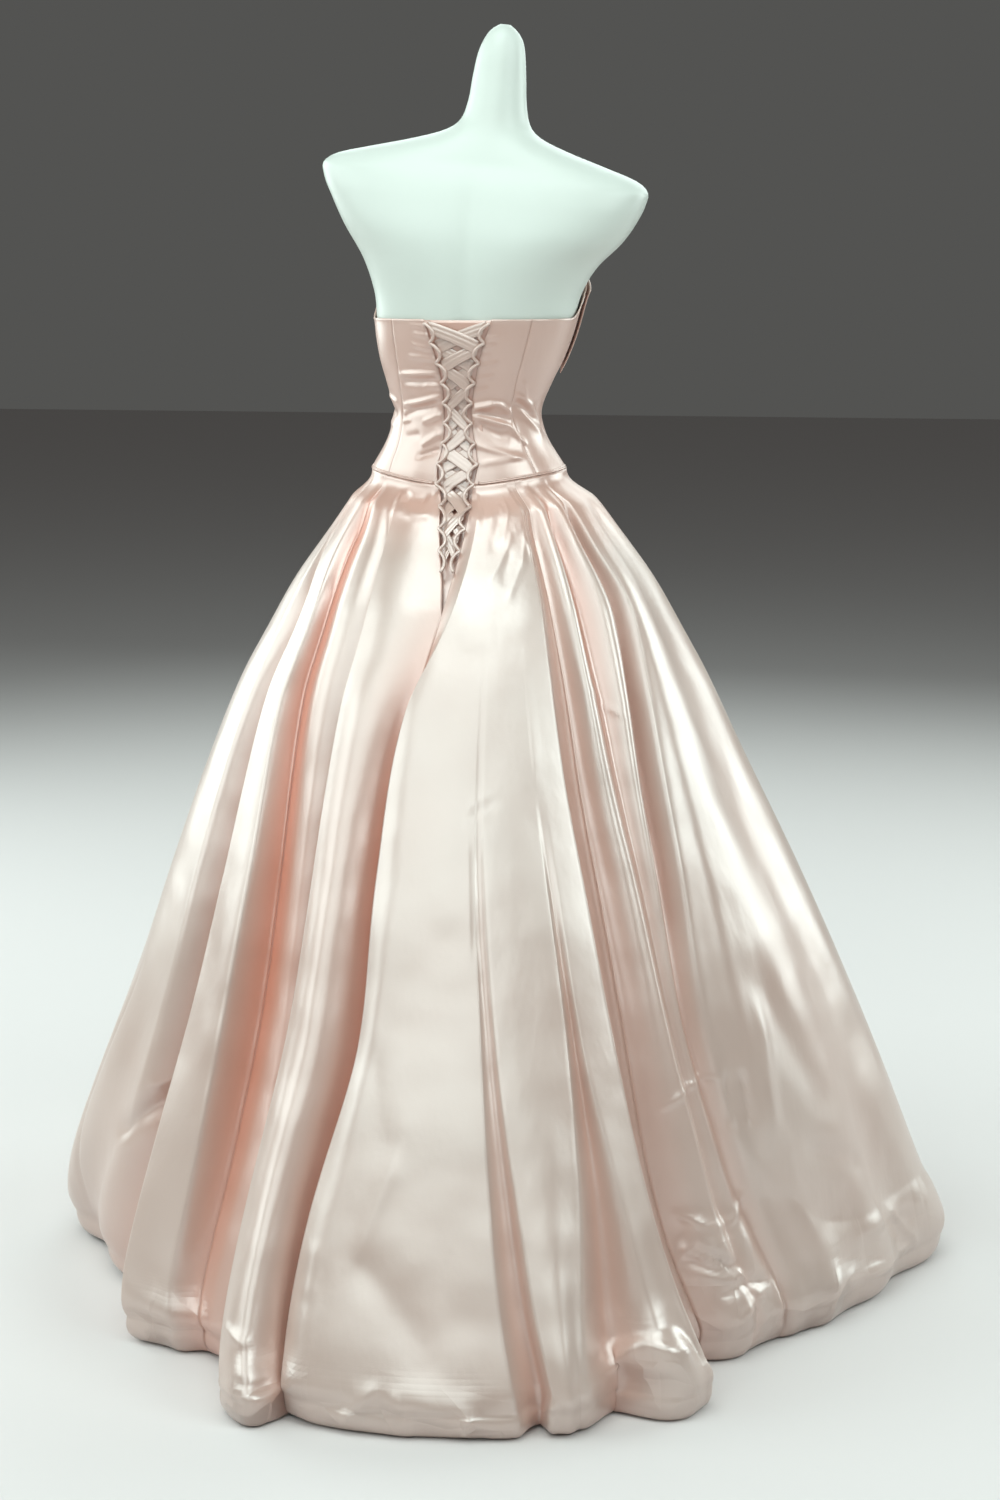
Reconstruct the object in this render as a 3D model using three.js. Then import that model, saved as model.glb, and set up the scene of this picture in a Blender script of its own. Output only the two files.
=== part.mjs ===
// Strapless laced ball gown on a limbless dress form.
// Millimetres, +Z up, the floor at z = 0, centre back toward +Y and the front toward -Y.
// Angles run from centre back (0) through the wearer's right side (90) round to the front (180).
import * as THREE from 'three';

const DEG = Math.PI / 180;
const PLACE = [8.3, -9.8];        // moves the whole part so that its box is centred on the origin

// Cloth and clearances
const SEAM_HALF = 0.2;            // half the gap left along every sewn seam
const BODICE_FACE = 4.0;          // outer face of the bodice above the form
const BODICE_WALL = 1.8;
const SKIRT_WALL = 2.0;
const LAYER_GAP = 0.4;            // gap between a piece and the one that lies on it

// Bodice
const BODICE_ROWS = 9;
const WAIST_SIDE = 1140;          // height of the waist seam at the sides
const WAIST_DIP = 17;             // and how far it dips at centre back
const TOP_BACK = 1345;            // straight top edge across the back
const TOP_SIDE_RISE = 42;         // the top edge climbs toward the front
const TOP_RISE_FROM = 78;         // from this angle on
const TOP_RISE_OVER = 40;
const TOP_BUST_RISE = 34;         // two soft peaks over the bust
const TOP_BUST_TURN = 146;        // angle of a peak from centre back
const TOP_BUST_WIDE = 26;
const NECK_EASE = 2.5;            // the bodice stands off the form toward its top edge
const NECK_OVER = 50;
const HIP_EASE = 4;               // and from here down toward the waist seam
const HIP_FROM = 1178;
const HIP_OVER = 40;
const SIDE_SEAM = 104;            // angle of the side seam
const BAND_DEPTH = 112;           // bust band, measured down from the top edge
const BAND_WALL = 1.6;
const BAND_RISE = 2;              // it stands this far above the top edge
const BAND_FLARE = 4.0;           // its free ends stand off the side seams
const WELT_HEIGHT = 6.0;          // its two edges above the waist seam
const WELT_LOW = 0.6;
const WELT_WALL = 1.6;
const WELT_END = 17;              // angle at which it stops short of the lacing

// Lacing
const LOOP_COUNT = 12;
const LOOP_TOP = 1331;
const LOOP_PITCH = 27;
const LOOP_REACH = 8.5;           // how far a loop stands into the opening
const CORD_RADIUS = 1.6;
const CORD_LIFT = 2.7;            // cord centre above the panel face at its root
const CORD_TIP_LIFT = 5.0;        // and at the tip, above the ribbon
const CORD_ROOT = -2.6;           // cord root beside the panel edge, on the panel
const CORD_SHARE = 0.3;           // a loop takes no more than this share of a narrow opening
const SKIRT_EASE = 6.0;           // extra clearance of the cord over the sloping skirt
const SKIRT_EASE_FROM = 1146;
const SKIRT_EASE_OVER = 30;
const RIBBON_HEIGHT = 13;
const RIBBON_WALL = 0.8;
const RIBBON_UNDER = -1.0;        // the two crossing layers, measured from the panel face
const RIBBON_OVER = 0.5;
const RIBBON_INSET = 2.2;         // ribbon fold to panel edge
const RIBBON_RISE = 3;            // ribbon fold above the middle of its loop
const OPENING_END = 965;          // the opening closes here, below the waist
const MODESTY_WALL = 1.0;
const MODESTY_LAP = 14;           // the panel behind the lacing laps under each edge
const MODESTY_RISE = 2;           // and ends this far above the top edge
const MODESTY_FOOT = 30;          // and this far above the end of the opening
const MODESTY_BEHIND = 2.2;       // depth behind the bodice face, with more at the waist and over the skirt
const MODESTY_WAIST = { more: 3.3, from: 1168, over: 40 };
const MODESTY_SKIRT = { more: 6.5, from: 1122, over: 30 };

// Skirt
const HEM_LOW = 6;                // lowest line of the turned-under hem
const SKIRT_SUBDIVISIONS = 3;     // columns from one fold line to the next
const GATHER_TOP = 1138;          // the folds grow from nothing at the waist seam
const GATHER_OVER = 190;
const SKIRT_JOIN = 40;            // the skirt leaves the bodice over this height
const LEAN_FROM = 1090;           // and its centre moves over to the form's above this
const LEAN_OVER = 40;
const HEM_ROUND = 40;             // length of the last straight row above the turned hem
const HEM_HOLD = 30;              // the folds keep their shape below this height above the hem
const HEM_SEAM = 6;               // the seams open a little wider at the hem

// Stand
const POLE_RADIUS = 16;
const BASE_RADIUS = 190;
const BASE_HEIGHT = 14;
const STAND_SIDE = 44;
const POLE_GAP = 0.3;             // between the pole and what it meets at each end

// The form, one row per section:
// height, sideways centre, half width, depth behind, depth in front, squareness.
const FORM = [
  [905, 44, 66, 52, 50, 2.2],
  [922, 44, 112, 84, 80, 2.3],
  [960, 44, 150, 110, 102, 2.3],
  [1010, 45, 166, 122, 108, 2.3],
  [1070, 47, 157, 114, 103, 2.3],
  [1110, 49, 138, 99, 93, 2.2],
  [1140, 51, 127, 93, 89, 2.2],
  [1165, 52, 115, 88, 89, 2.2],
  [1192, 53, 103, 82, 87, 2.2],
  [1220, 53, 98.5, 79, 86, 2.2],
  [1260, 50, 111, 83, 92, 2.3],
  [1288, 47, 122, 88, 102, 2.3],
  [1316, 44, 130, 93, 112, 2.3],
  [1345, 41, 136, 97, 117, 2.3],
  [1380, 38, 142, 101, 115, 2.4],
  [1420, 35, 160, 104, 110, 2.5],
  [1460, 32, 190, 102, 102, 2.7],
  [1500, 30, 213, 92, 88, 2.8],
  [1520, 29, 221, 84, 78, 2.8],
  [1535, 28, 222, 76, 68, 2.8],
  [1548, 26, 205, 68, 62, 2.6],
  [1562, 23, 158, 62, 58, 2.4],
  [1576, 20, 108, 56, 54, 2.2],
  [1590, 17, 68, 50, 50, 2.1],
  [1604, 14, 49, 46, 48, 2.0],
  [1630, 11, 40, 42, 44, 2.0],
  [1665, 8, 36, 37, 38, 2.0],
  [1695, 5, 32, 33, 33, 2.0],
  [1715, 2, 26, 27, 27, 2.0],
  [1728, 1, 17, 18, 18, 2.0],
  [1735, 0, 7, 8, 8, 2.0],
];
const FORM_SIDES = 30;
const SHOULDER_ROLL = 5.6 * DEG;  // the shoulder line is not level
const ROLL_FROM = 1350;
const ROLL_FULL = 1500;
const BUST = { height: 1318, angle: 28, form: 13, cup: 15.5, tall: 56, wide: 24 };

// The laced opening: height, angle of its left edge, angle of its right edge.
const OPENING = [
  [965, 0, 0],
  [1010, -1.6, 2.2],
  [1050, -5.0, 4.6],
  [1090, -8.6, 7.6],
  [1122, -13.5, 12.5],
  [1150, -14.2, 17.0],
  [1170, -12.5, 17.0],
  [1195, -10.8, 15.2],
  [1225, -12.0, 14.0],
  [1262, -14.8, 15.0],
  [1290, -19.5, 16.5],
  [1312, -23.5, 18.2],
  [1345, -29.5, 21.3],
];

// Seams between back and side panels: height, left seam angle, right seam angle.
const PRINCESS = [
  [1120, -52, 58],
  [1180, -54, 55],
  [1225, -55, 49.5],
  [1280, -53, 48],
  [1345, -54, 48.5],
];

// Centre back seam below the opening: height, angle.
const CENTRE_SEAM = [
  [50, -14.4],
  [250, -12.9],
  [450, -9.1],
  [650, -8.2],
  [850, -5],
  [965, 0],
];

// Skirt envelope: height, sideways centre, half width, how much flatter it is front to back.
const SKIRT = [
  [0, 0, 600, 0],
  [40, 1, 642, 0],
  [77, 5, 642, 0],
  [150, 12, 616, 0],
  [300, 17, 558, 0],
  [450, 22, 497, 0],
  [600, 31, 437, 0],
  [745, 40, 375, 0.01],
  [850, 43, 328, 0.02],
  [920, 43, 290, 0.04],
  [990, 43, 250, 0.08],
  [1060, 43, 200, 0.15],
  [1096, 44, 174, 0.2],
  [1123, 46, 152, 0.24],
  [1140, 51, 135, 0.25],
];

// Fold lines of the skirt in order from the centre back seam round to it again.
// name, angle at waist, hip, thigh, knee and hem, then reach at hip, thigh, knee and hem
// (reach 1 is the envelope), then roundness of the fold. The two seam lines add the angle of
// the opening's edge, or of the centre back seam below it.
const FOLD_HEIGHTS = [1130, 970, 750, 450, 50];
const REACH_HEIGHTS = [970, 750, 450, 50];
const FOLDS = [
  ['seam_right', 0, 0, 0, 0, 0, 0.97, 0.87, 0.86, 0.98, 0.35],
  ['back_edge', 16, 8, -2.5, -6, -12, 1, 1, 1, 1.03, 0.5],
  ['back_crease', 22, 14, 10.5, 9.6, 13, 0.995, 0.985, 0.985, 1.0, 0.4],
  ['back_middle', 27, 20, 17, 16, 18, 1, 1, 1, 1.02, 0.4],
  ['back_dip', 31, 25, 22, 22.3, 24, 1, 1, 0.965, 0.91, 0.4],
  ['back_overlap', 36, 31, 28.7, 28.6, 34.6, 1, 1, 1, 0.955, 0.55],
  ['deep_right', 42, 36.5, 35, 34.4, 41, 0.92, 0.845, 0.82, 0.75, 0.4],
  ['pleat_right', 48, 41.5, 40.4, 41.4, 48, 0.99, 0.93, 0.88, 0.785, 0.5],
  ['tuck_right', 60, 62, 53.3, 47.2, 58, 0.92, 0.87, 0.85, 0.77, 0.4],
  ['panel_right', 69, 69, 61, 57.5, 69, 0.99, 0.98, 0.925, 0.82, 0.5],
  ['hollow_right', 77, 83, 78.5, 77, 85, 0.955, 0.955, 0.945, 0.875, 0.4],
  ['side_right', 88, 98, 99, 99, 98, 1, 1, 1, 1, 0.5],
  ['valley_1', 104, 112, 113, 113, 113, 0.95, 0.88, 0.85, 0.88, 0.4],
  ['front_1', 119, 126, 127, 127, 127, 1, 1, 1, 1, 0.5],
  ['valley_2', 135, 140, 141, 141, 141, 0.95, 0.87, 0.84, 0.86, 0.4],
  ['front_2', 152, 155, 155, 155, 155, 1, 1, 1, 1, 0.5],
  ['valley_3', 167, 169, 170, 170, 170, 0.96, 0.88, 0.85, 0.88, 0.4],
  ['front_3', 183, 184, 184, 184, 184, 1, 1, 1, 1, 0.5],
  ['valley_4', 199, 198, 198, 198, 198, 0.96, 0.88, 0.85, 0.87, 0.4],
  ['front_4', 214, 212, 212, 212, 212, 1, 1, 1, 1, 0.5],
  ['valley_5', 229, 227, 226, 226, 226, 0.95, 0.87, 0.84, 0.86, 0.4],
  ['front_5', 244, 242, 241, 241, 241, 1, 1, 1, 1, 0.5],
  ['valley_6', 260, 260, 261, 261, 255, 0.95, 0.88, 0.86, 0.9, 0.4],
  ['side_left', 275, 281, 284, 285.5, 272, 1, 1, 1, 0.958, 0.5],
  ['tuck_left', 288, 303.5, 308.6, 311.4, 312.6, 0.94, 0.87, 0.84, 0.84, 0.4],
  ['pleat_left', 297, 309.2, 315, 318.6, 318, 0.99, 0.975, 0.965, 0.94, 0.5],
  ['deep_left', 304, 314.6, 320.6, 325, 324.5, 0.92, 0.87, 0.85, 0.87, 0.4],
  ['back_left', 333, 341.6, 341.3, 341, 341, 1, 1, 1, 1.085, 0.5],
  ['seam_left', 360, 360, 360, 360, 360, 0.97, 0.87, 0.86, 0.98, 0.35],
];

// Skirt panels, each from one named fold line to the next.
const PANELS = [
  ['skirt_back_right', 'seam_right', 'deep_right'],
  ['skirt_side_right', 'deep_right', 'valley_2'],
  ['skirt_front', 'valley_2', 'valley_5'],
  ['skirt_side_left', 'valley_5', 'deep_left'],
  ['skirt_back_left', 'deep_left', 'seam_left'],
];

// Rows down the skirt as shares of its length, then the rows that turn the hem under: height, inset.
const SKIRT_ROWS = [0, 0.022, 0.06, 0.12, 0.2, 0.31, 0.44, 0.58, 0.72, 0.85, 0.94];
const HEM_TURN = [
  [42, 0],
  [16, 13],
  [0, 38],
  [22, 62],
];

const SATIN = { color: 0xdcc3b8, roughness: 0.36, metalness: 0.12 };
const SATIN_DEEP = { color: 0xd3b3a7, roughness: 0.4, metalness: 0.1 };
const FORM_WHITE = { color: 0xe6f0ea, roughness: 0.22, metalness: 0 };
const STAND_METAL = { color: 0xb9bdbf, roughness: 0.35, metalness: 0.8 };

const mix = (a, b, t) => a + (b - a) * t;
const smooth = (t) => {
  const s = Math.min(1, Math.max(0, t));
  return s * s * (3 - 2 * s);
};

// Smooth reading of one column of a table whose first column climbs.
function read(rows, column, at) {
  const last = rows.length - 1;
  if (at <= rows[0][0]) return rows[0][column];
  if (at >= rows[last][0]) return rows[last][column];
  let i = 0;
  while (rows[i + 1][0] < at) i += 1;
  const slope = (k) => {
    const lo = rows[Math.max(0, k - 1)];
    const hi = rows[Math.min(last, k + 1)];
    return (hi[column] - lo[column]) / (hi[0] - lo[0]);
  };
  const span = rows[i + 1][0] - rows[i][0];
  const t = (at - rows[i][0]) / span;
  const a = rows[i][column];
  const b = rows[i + 1][column];
  const curve = (2 * t ** 3 - 3 * t ** 2 + 1) * a + (3 * t ** 2 - 2 * t ** 3) * b;
  return curve + (t ** 3 - 2 * t ** 2 + t) * span * slope(i) + (t ** 3 - t ** 2) * span * slope(i + 1);
}

// A point at an angle and distance from a centre that is shifted sideways.
function polar(side, angle, radius, z) {
  return new THREE.Vector3(side - radius * Math.sin(angle * DEG), radius * Math.cos(angle * DEG), z);
}

function formRadius(angle, z, bust = BUST.form) {
  const sin = Math.abs(Math.sin(angle * DEG));
  const cos = Math.cos(angle * DEG);
  const depth = read(FORM, cos > 0 ? 3 : 4, z);
  const power = read(FORM, 5, z);
  const sum = (sin / read(FORM, 2, z)) ** power + (Math.abs(cos) / depth) ** power;
  const turn = Math.abs(((angle % 360) + 360) % 360 - 180);
  const across = ((turn - BUST.angle) / BUST.wide) ** 2;
  const along = ((z - BUST.height) / BUST.tall) ** 2;
  return sum ** (-1 / power) + bust * Math.exp(-across - along);
}

const formSide = (z) => read(FORM, 1, z);

// The bodice follows the form, easing off it toward the neckline and toward the waist seam.
function bodiceRadius(angle, z) {
  const neck = NECK_EASE * smooth((z - TOP_BACK) / NECK_OVER);
  const hip = HIP_EASE * smooth((HIP_FROM - z) / HIP_OVER);
  return formRadius(angle, z, BUST.cup) + neck + hip;
}

function bodicePoint(angle, z, off) {
  return polar(formSide(z), angle, bodiceRadius(angle, z) + off, z);
}

function waistHeight(angle) {
  return WAIST_SIDE - WAIST_DIP * Math.max(0, Math.cos(angle * DEG)) ** 2;
}

function topHeight(angle) {
  const turn = Math.abs(((angle % 360) + 540) % 360 - 180);
  const side = TOP_SIDE_RISE * smooth((turn - TOP_RISE_FROM) / TOP_RISE_OVER);
  const bust = TOP_BUST_RISE * Math.exp(-(((turn - TOP_BUST_TURN) / TOP_BUST_WIDE) ** 2));
  return TOP_BACK + side + bust;
}

// Meshes and closed bodies
const part = new THREE.Group();

function addMesh(name, geometry, look) {
  const mesh = new THREE.Mesh(geometry, new THREE.MeshStandardMaterial(look));
  mesh.name = name;
  part.add(mesh);
}

function indexed(points, faces) {
  const geometry = new THREE.BufferGeometry();
  const places = points.flatMap((p) => p.toArray());
  geometry.setAttribute('position', new THREE.Float32BufferAttribute(places, 3));
  geometry.setIndex(faces.flat());
  geometry.computeVertexNormals();
  return geometry;
}

// A sheet with thickness from an outer and an inner grid of rows (top to bottom) and columns.
function shell(outer, inner) {
  const rows = outer.length;
  const cols = outer[0].length;
  const points = [...outer.flat(), ...inner.flat()];
  const o = (r, c) => r * cols + c;
  const n = (r, c) => rows * cols + r * cols + c;
  const faces = [];
  const quad = (a, b, c, d) => faces.push([a, c, b], [a, d, c]);
  for (let r = 0; r < rows - 1; r += 1) {
    for (let c = 0; c < cols - 1; c += 1) {
      quad(o(r, c), o(r, c + 1), o(r + 1, c + 1), o(r + 1, c));
      quad(n(r, c), n(r + 1, c), n(r + 1, c + 1), n(r, c + 1));
    }
    quad(o(r, 0), o(r + 1, 0), n(r + 1, 0), n(r, 0));
    quad(o(r + 1, cols - 1), o(r, cols - 1), n(r, cols - 1), n(r + 1, cols - 1));
  }
  for (let c = 0; c < cols - 1; c += 1) {
    quad(o(0, c + 1), o(0, c), n(0, c), n(0, c + 1));
    quad(o(rows - 1, c), o(rows - 1, c + 1), n(rows - 1, c + 1), n(rows - 1, c));
  }
  return indexed(points, faces);
}

// A closed run of rings, each with the same number of points, capped at both ends.
function sweep(rings) {
  const sides = rings[0].length;
  const points = rings.flat();
  const faces = [];
  for (let r = 0; r < rings.length - 1; r += 1) {
    for (let s = 0; s < sides; s += 1) {
      const a = r * sides + s;
      const b = r * sides + ((s + 1) % sides);
      faces.push([a, b, b + sides], [a, b + sides, a + sides]);
    }
  }
  const end = (rings.length - 1) * sides;
  for (let s = 1; s < sides - 1; s += 1) {
    faces.push([0, s + 1, s], [end, end + s, end + s + 1]);
  }
  return indexed(points, faces);
}

// The form: one loft of sections with the shoulder line rolled.
function buildForm() {
  const rings = FORM.map(([z, side]) => {
    const roll = Math.tan(SHOULDER_ROLL) * smooth((z - ROLL_FROM) / (ROLL_FULL - ROLL_FROM));
    const ring = [];
    for (let s = 0; s < FORM_SIDES; s += 1) {
      const point = polar(side, (360 * s) / FORM_SIDES, formRadius((360 * s) / FORM_SIDES, z), z);
      point.z += (point.x - side) * roll;
      ring.push(point);
    }
    return ring;
  });
  addMesh('form_torso', sweep(rings), FORM_WHITE);
}

function cylinder(radius, from, to, sides) {
  const geometry = new THREE.CylinderGeometry(radius, radius, to - from, sides);
  geometry.rotateX(Math.PI / 2);
  geometry.translate(STAND_SIDE, 0, (from + to) / 2);
  return geometry;
}

function buildStand() {
  addMesh('stand_base', cylinder(BASE_RADIUS, 0, BASE_HEIGHT, 48), STAND_METAL);
  const pole = cylinder(POLE_RADIUS, BASE_HEIGHT + POLE_GAP, FORM[0][0] - POLE_GAP, 24);
  addMesh('stand_pole', pole, STAND_METAL);
}

// Bodice: every panel lies between two seam lines, each a function of height.
const seamLines = {
  openingLeft: (z) => read(OPENING, 1, z),
  openingRight: (z) => read(OPENING, 2, z),
  princessLeft: (z) => read(PRINCESS, 1, z),
  princessRight: (z) => read(PRINCESS, 2, z),
  sideLeft: () => -SIDE_SEAM,
  sideRight: () => SIDE_SEAM,
  sideLeftRound: () => 360 - SIDE_SEAM,
};

function panelAngle(from, to, share, z) {
  return mix(from(z), to(z), share);
}

// Height on a panel column: the column's own top and bottom edges are met by two passes.
function columnHeights(from, to, share, row) {
  let top = TOP_BACK;
  let bottom = WAIST_SIDE;
  for (let pass = 0; pass < 3; pass += 1) {
    top = topHeight(panelAngle(from, to, share, top));
    bottom = waistHeight(panelAngle(from, to, share, bottom));
  }
  return mix(top, bottom + SEAM_HALF, row);
}

function bodiceGrid(from, to, cols, off) {
  const grid = [];
  for (let r = 0; r <= BODICE_ROWS; r += 1) {
    const line = [];
    for (let c = 0; c <= cols; c += 1) {
      const z = columnHeights(from, to, c / cols, r / BODICE_ROWS);
      let angle = panelAngle(from, to, c / cols, z);
      const sewn = SEAM_HALF / (formRadius(angle, z) * DEG);
      if (c === 0) angle += sewn;
      if (c === cols) angle -= sewn;
      line.push(bodicePoint(angle, z, off));
    }
    grid.push(line);
  }
  return grid;
}

function buildBodice() {
  const panels = [
    ['bodice_back_right', 'openingRight', 'princessRight', 6],
    ['bodice_side_right', 'princessRight', 'sideRight', 8],
    ['bodice_front', 'sideRight', 'sideLeftRound', 24],
    ['bodice_side_left', 'sideLeft', 'princessLeft', 8],
    ['bodice_back_left', 'princessLeft', 'openingLeft', 6],
  ];
  for (const [name, from, to, cols] of panels) {
    const outer = bodiceGrid(seamLines[from], seamLines[to], cols, BODICE_FACE);
    const inner = bodiceGrid(seamLines[from], seamLines[to], cols, BODICE_FACE - BODICE_WALL);
    addMesh(name, shell(outer, inner), SATIN);
  }
}

// Bust band: the upper bodice front moved out, its two ends standing free of the side seams.
function bandGrid(off) {
  const cols = 24;
  const rows = 6;
  const grid = [];
  for (let r = 0; r <= rows; r += 1) {
    const line = [];
    for (let c = 0; c <= cols; c += 1) {
      const angle = mix(SIDE_SEAM + 1, 360 - SIDE_SEAM - 1, c / cols);
      const z = topHeight(angle) + BAND_RISE - (BAND_DEPTH * r) / rows;
      const end = Math.abs((2 * c) / cols - 1) ** 6;
      line.push(bodicePoint(angle, z, BODICE_FACE + 2 * LAYER_GAP + off + BAND_FLARE * end));
    }
    grid.push(line);
  }
  return grid;
}

function buildBand() {
  addMesh('bust_band', shell(bandGrid(BAND_WALL), bandGrid(0)), SATIN);
}

// Waist welt: a narrow band on the bodice just above the waist seam, open at the lacing.
function weltGrid(off) {
  const cols = 48;
  return [WELT_HEIGHT, WELT_LOW].map((rise) => {
    const line = [];
    for (let c = 0; c <= cols; c += 1) {
      const angle = mix(WELT_END, 360 - WELT_END, c / cols);
      line.push(bodicePoint(angle, waistHeight(angle) + rise, BODICE_FACE + LAYER_GAP + off));
    }
    return line;
  });
}

function buildWelt() {
  addMesh('waist_welt', shell(weltGrid(WELT_WALL), weltGrid(0)), SATIN_DEEP);
}

// Skirt: at each height the section is a closed chain of curves through the fold lines.
function seamAngle(fold, z) {
  if (z < OPENING_END) return read(CENTRE_SEAM, 1, z);
  if (fold[0] === 'seam_right') return read(OPENING, 2, z);
  return fold[0] === 'seam_left' ? read(OPENING, 1, z) : 0;
}

function foldAt(fold, z) {
  const angles = FOLD_HEIGHTS.map((h, i) => [h, fold[1 + i]]).reverse();
  const reaches = REACH_HEIGHTS.map((h, i) => [h, fold[6 + i]]).reverse();
  const sewn = fold[0].startsWith('seam') ? seamAngle(fold, z) : 0;
  const angle = read(angles, 1, z) + sewn;
  const fade = smooth((GATHER_TOP - z) / GATHER_OVER);
  return { angle, reach: mix(1, read(reaches, 1, z), fade), round: fold[10] };
}

function skirtRadius(angle, z) {
  const cos = Math.cos(angle * DEG);
  const wide = read(SKIRT, 2, z) * (1 - read(SKIRT, 3, z) * cos * cos);
  const waist = waistHeight(angle);
  const joined = bodiceRadius(angle, waist) + BODICE_FACE;
  return mix(joined, wide, smooth((waist - z) / SKIRT_JOIN));
}

function skirtSide(z) {
  return mix(read(SKIRT, 1, z), formSide(z), smooth((z - LEAN_FROM) / LEAN_OVER));
}

function foldPoint(fold, z, inset) {
  const { angle, reach, round } = foldAt(fold, z);
  const radius = skirtRadius(angle, z) * reach - inset;
  const along = new THREE.Vector3(-Math.cos(angle * DEG), -Math.sin(angle * DEG), 0);
  return { angle, at: polar(skirtSide(z), angle, radius, z), along, round };
}

// Height of a point of the chain: the rows follow the dip of the waist seam and the hem.
function rowHeight(angle, row) {
  if (row < SKIRT_ROWS.length) {
    const share = SKIRT_ROWS[row] / SKIRT_ROWS[SKIRT_ROWS.length - 1];
    return mix(waistHeight(angle) - SEAM_HALF, HEM_LOW + HEM_TURN[0][0] + HEM_ROUND, share);
  }
  return HEM_LOW + HEM_TURN[row - SKIRT_ROWS.length][0];
}

function skirtRow(row) {
  const inset = row < SKIRT_ROWS.length ? 0 : HEM_TURN[row - SKIRT_ROWS.length][1];
  const placed = FOLDS.map((fold) => {
    const height = rowHeight(foldAt(fold, rowHeight(fold[1], row)).angle, row);
    const held = foldPoint(fold, Math.max(height, HEM_LOW + HEM_HOLD), inset);
    held.at.z = height;
    return held;
  });
  const line = [];
  for (let i = 0; i < placed.length - 1; i += 1) {
    const a = placed[i];
    const b = placed[i + 1];
    const span = Math.abs(b.at.clone().sub(a.at).dot(a.along.clone().add(b.along).normalize()));
    const out = a.at.clone().addScaledVector(a.along, a.round * span);
    const back = b.at.clone().addScaledVector(b.along, -b.round * span);
    const curve = new THREE.CubicBezierCurve3(a.at, out, back, b.at);
    for (let k = 0; k < SKIRT_SUBDIVISIONS; k += 1) line.push(curve.getPoint(k / SKIRT_SUBDIVISIONS));
  }
  line.push(placed[placed.length - 1].at.clone());
  return line;
}

function gridNormals(grid) {
  return grid.map((line, r) => line.map((p, c) => {
    const left = line[Math.max(0, c - 1)];
    const right = line[Math.min(line.length - 1, c + 1)];
    const up = grid[Math.max(0, r - 1)][c];
    const down = grid[Math.min(grid.length - 1, r + 1)][c];
    return down.clone().sub(up).cross(right.clone().sub(left)).normalize();
  }));
}

const skirtGrid = [];

function buildSkirt() {
  const rows = SKIRT_ROWS.length + HEM_TURN.length;
  for (let row = 0; row < rows; row += 1) skirtGrid.push(skirtRow(row));
  const normals = gridNormals(skirtGrid);
  const column = (name) => SKIRT_SUBDIVISIONS * FOLDS.findIndex((fold) => fold[0] === name);
  for (const [name, from, to] of PANELS) {
    const first = column(from);
    const last = column(to);
    const outer = [];
    const inner = [];
    skirtGrid.forEach((line, r) => {
      const cut = line.slice(first, last + 1).map((p) => p.clone());
      const gap = r < SKIRT_ROWS.length ? SEAM_HALF : HEM_SEAM * SEAM_HALF;
      const round = (p) => new THREE.Vector3(-p.y, p.x, 0).normalize().multiplyScalar(gap);
      cut[0].add(round(cut[0]));
      cut[last - first].sub(round(cut[last - first]));
      outer.push(cut);
      inner.push(cut.map((p, c) => p.clone().addScaledVector(normals[r][first + c], -SKIRT_WALL)));
    });
    addMesh(name, shell(outer, inner), SATIN);
  }
}

// The laced opening: outer face of the gown at a share of the way across it.
function openingPoint(share, z, off, inset) {
  const across = mix(read(OPENING, 1, z), read(OPENING, 2, z), share);
  const above = z >= waistHeight(across);
  const face = (angle) => (above
    ? bodiceRadius(angle, z) + BODICE_FACE
    : skirtRadius(angle, z) * foldAt(FOLDS[0], z).reach);
  const angle = across + inset / (face(across) * DEG);
  return polar(above ? formSide(z) : skirtSide(z), angle, face(angle) + off, z);
}

function buildModesty() {
  const cols = 7;
  const rows = 20;
  const grid = (depth) => {
    const lines = [];
    for (let r = 0; r <= rows; r += 1) {
      const z = mix(TOP_BACK + MODESTY_RISE, OPENING_END + MODESTY_FOOT, r / rows);
      const deeper = ({ more, from, over }) => more * smooth((from - z) / over);
      const behind = MODESTY_BEHIND + deeper(MODESTY_WAIST) + deeper(MODESTY_SKIRT);
      const line = [];
      for (let c = 0; c <= cols; c += 1) {
        const share = c / cols;
        line.push(openingPoint(share, z, -behind - depth, mix(-MODESTY_LAP, MODESTY_LAP, share)));
      }
      lines.push(line);
    }
    return lines;
  };
  addMesh('modesty_panel', shell(grid(0), grid(MODESTY_WALL)), SATIN_DEEP);
}

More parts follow.
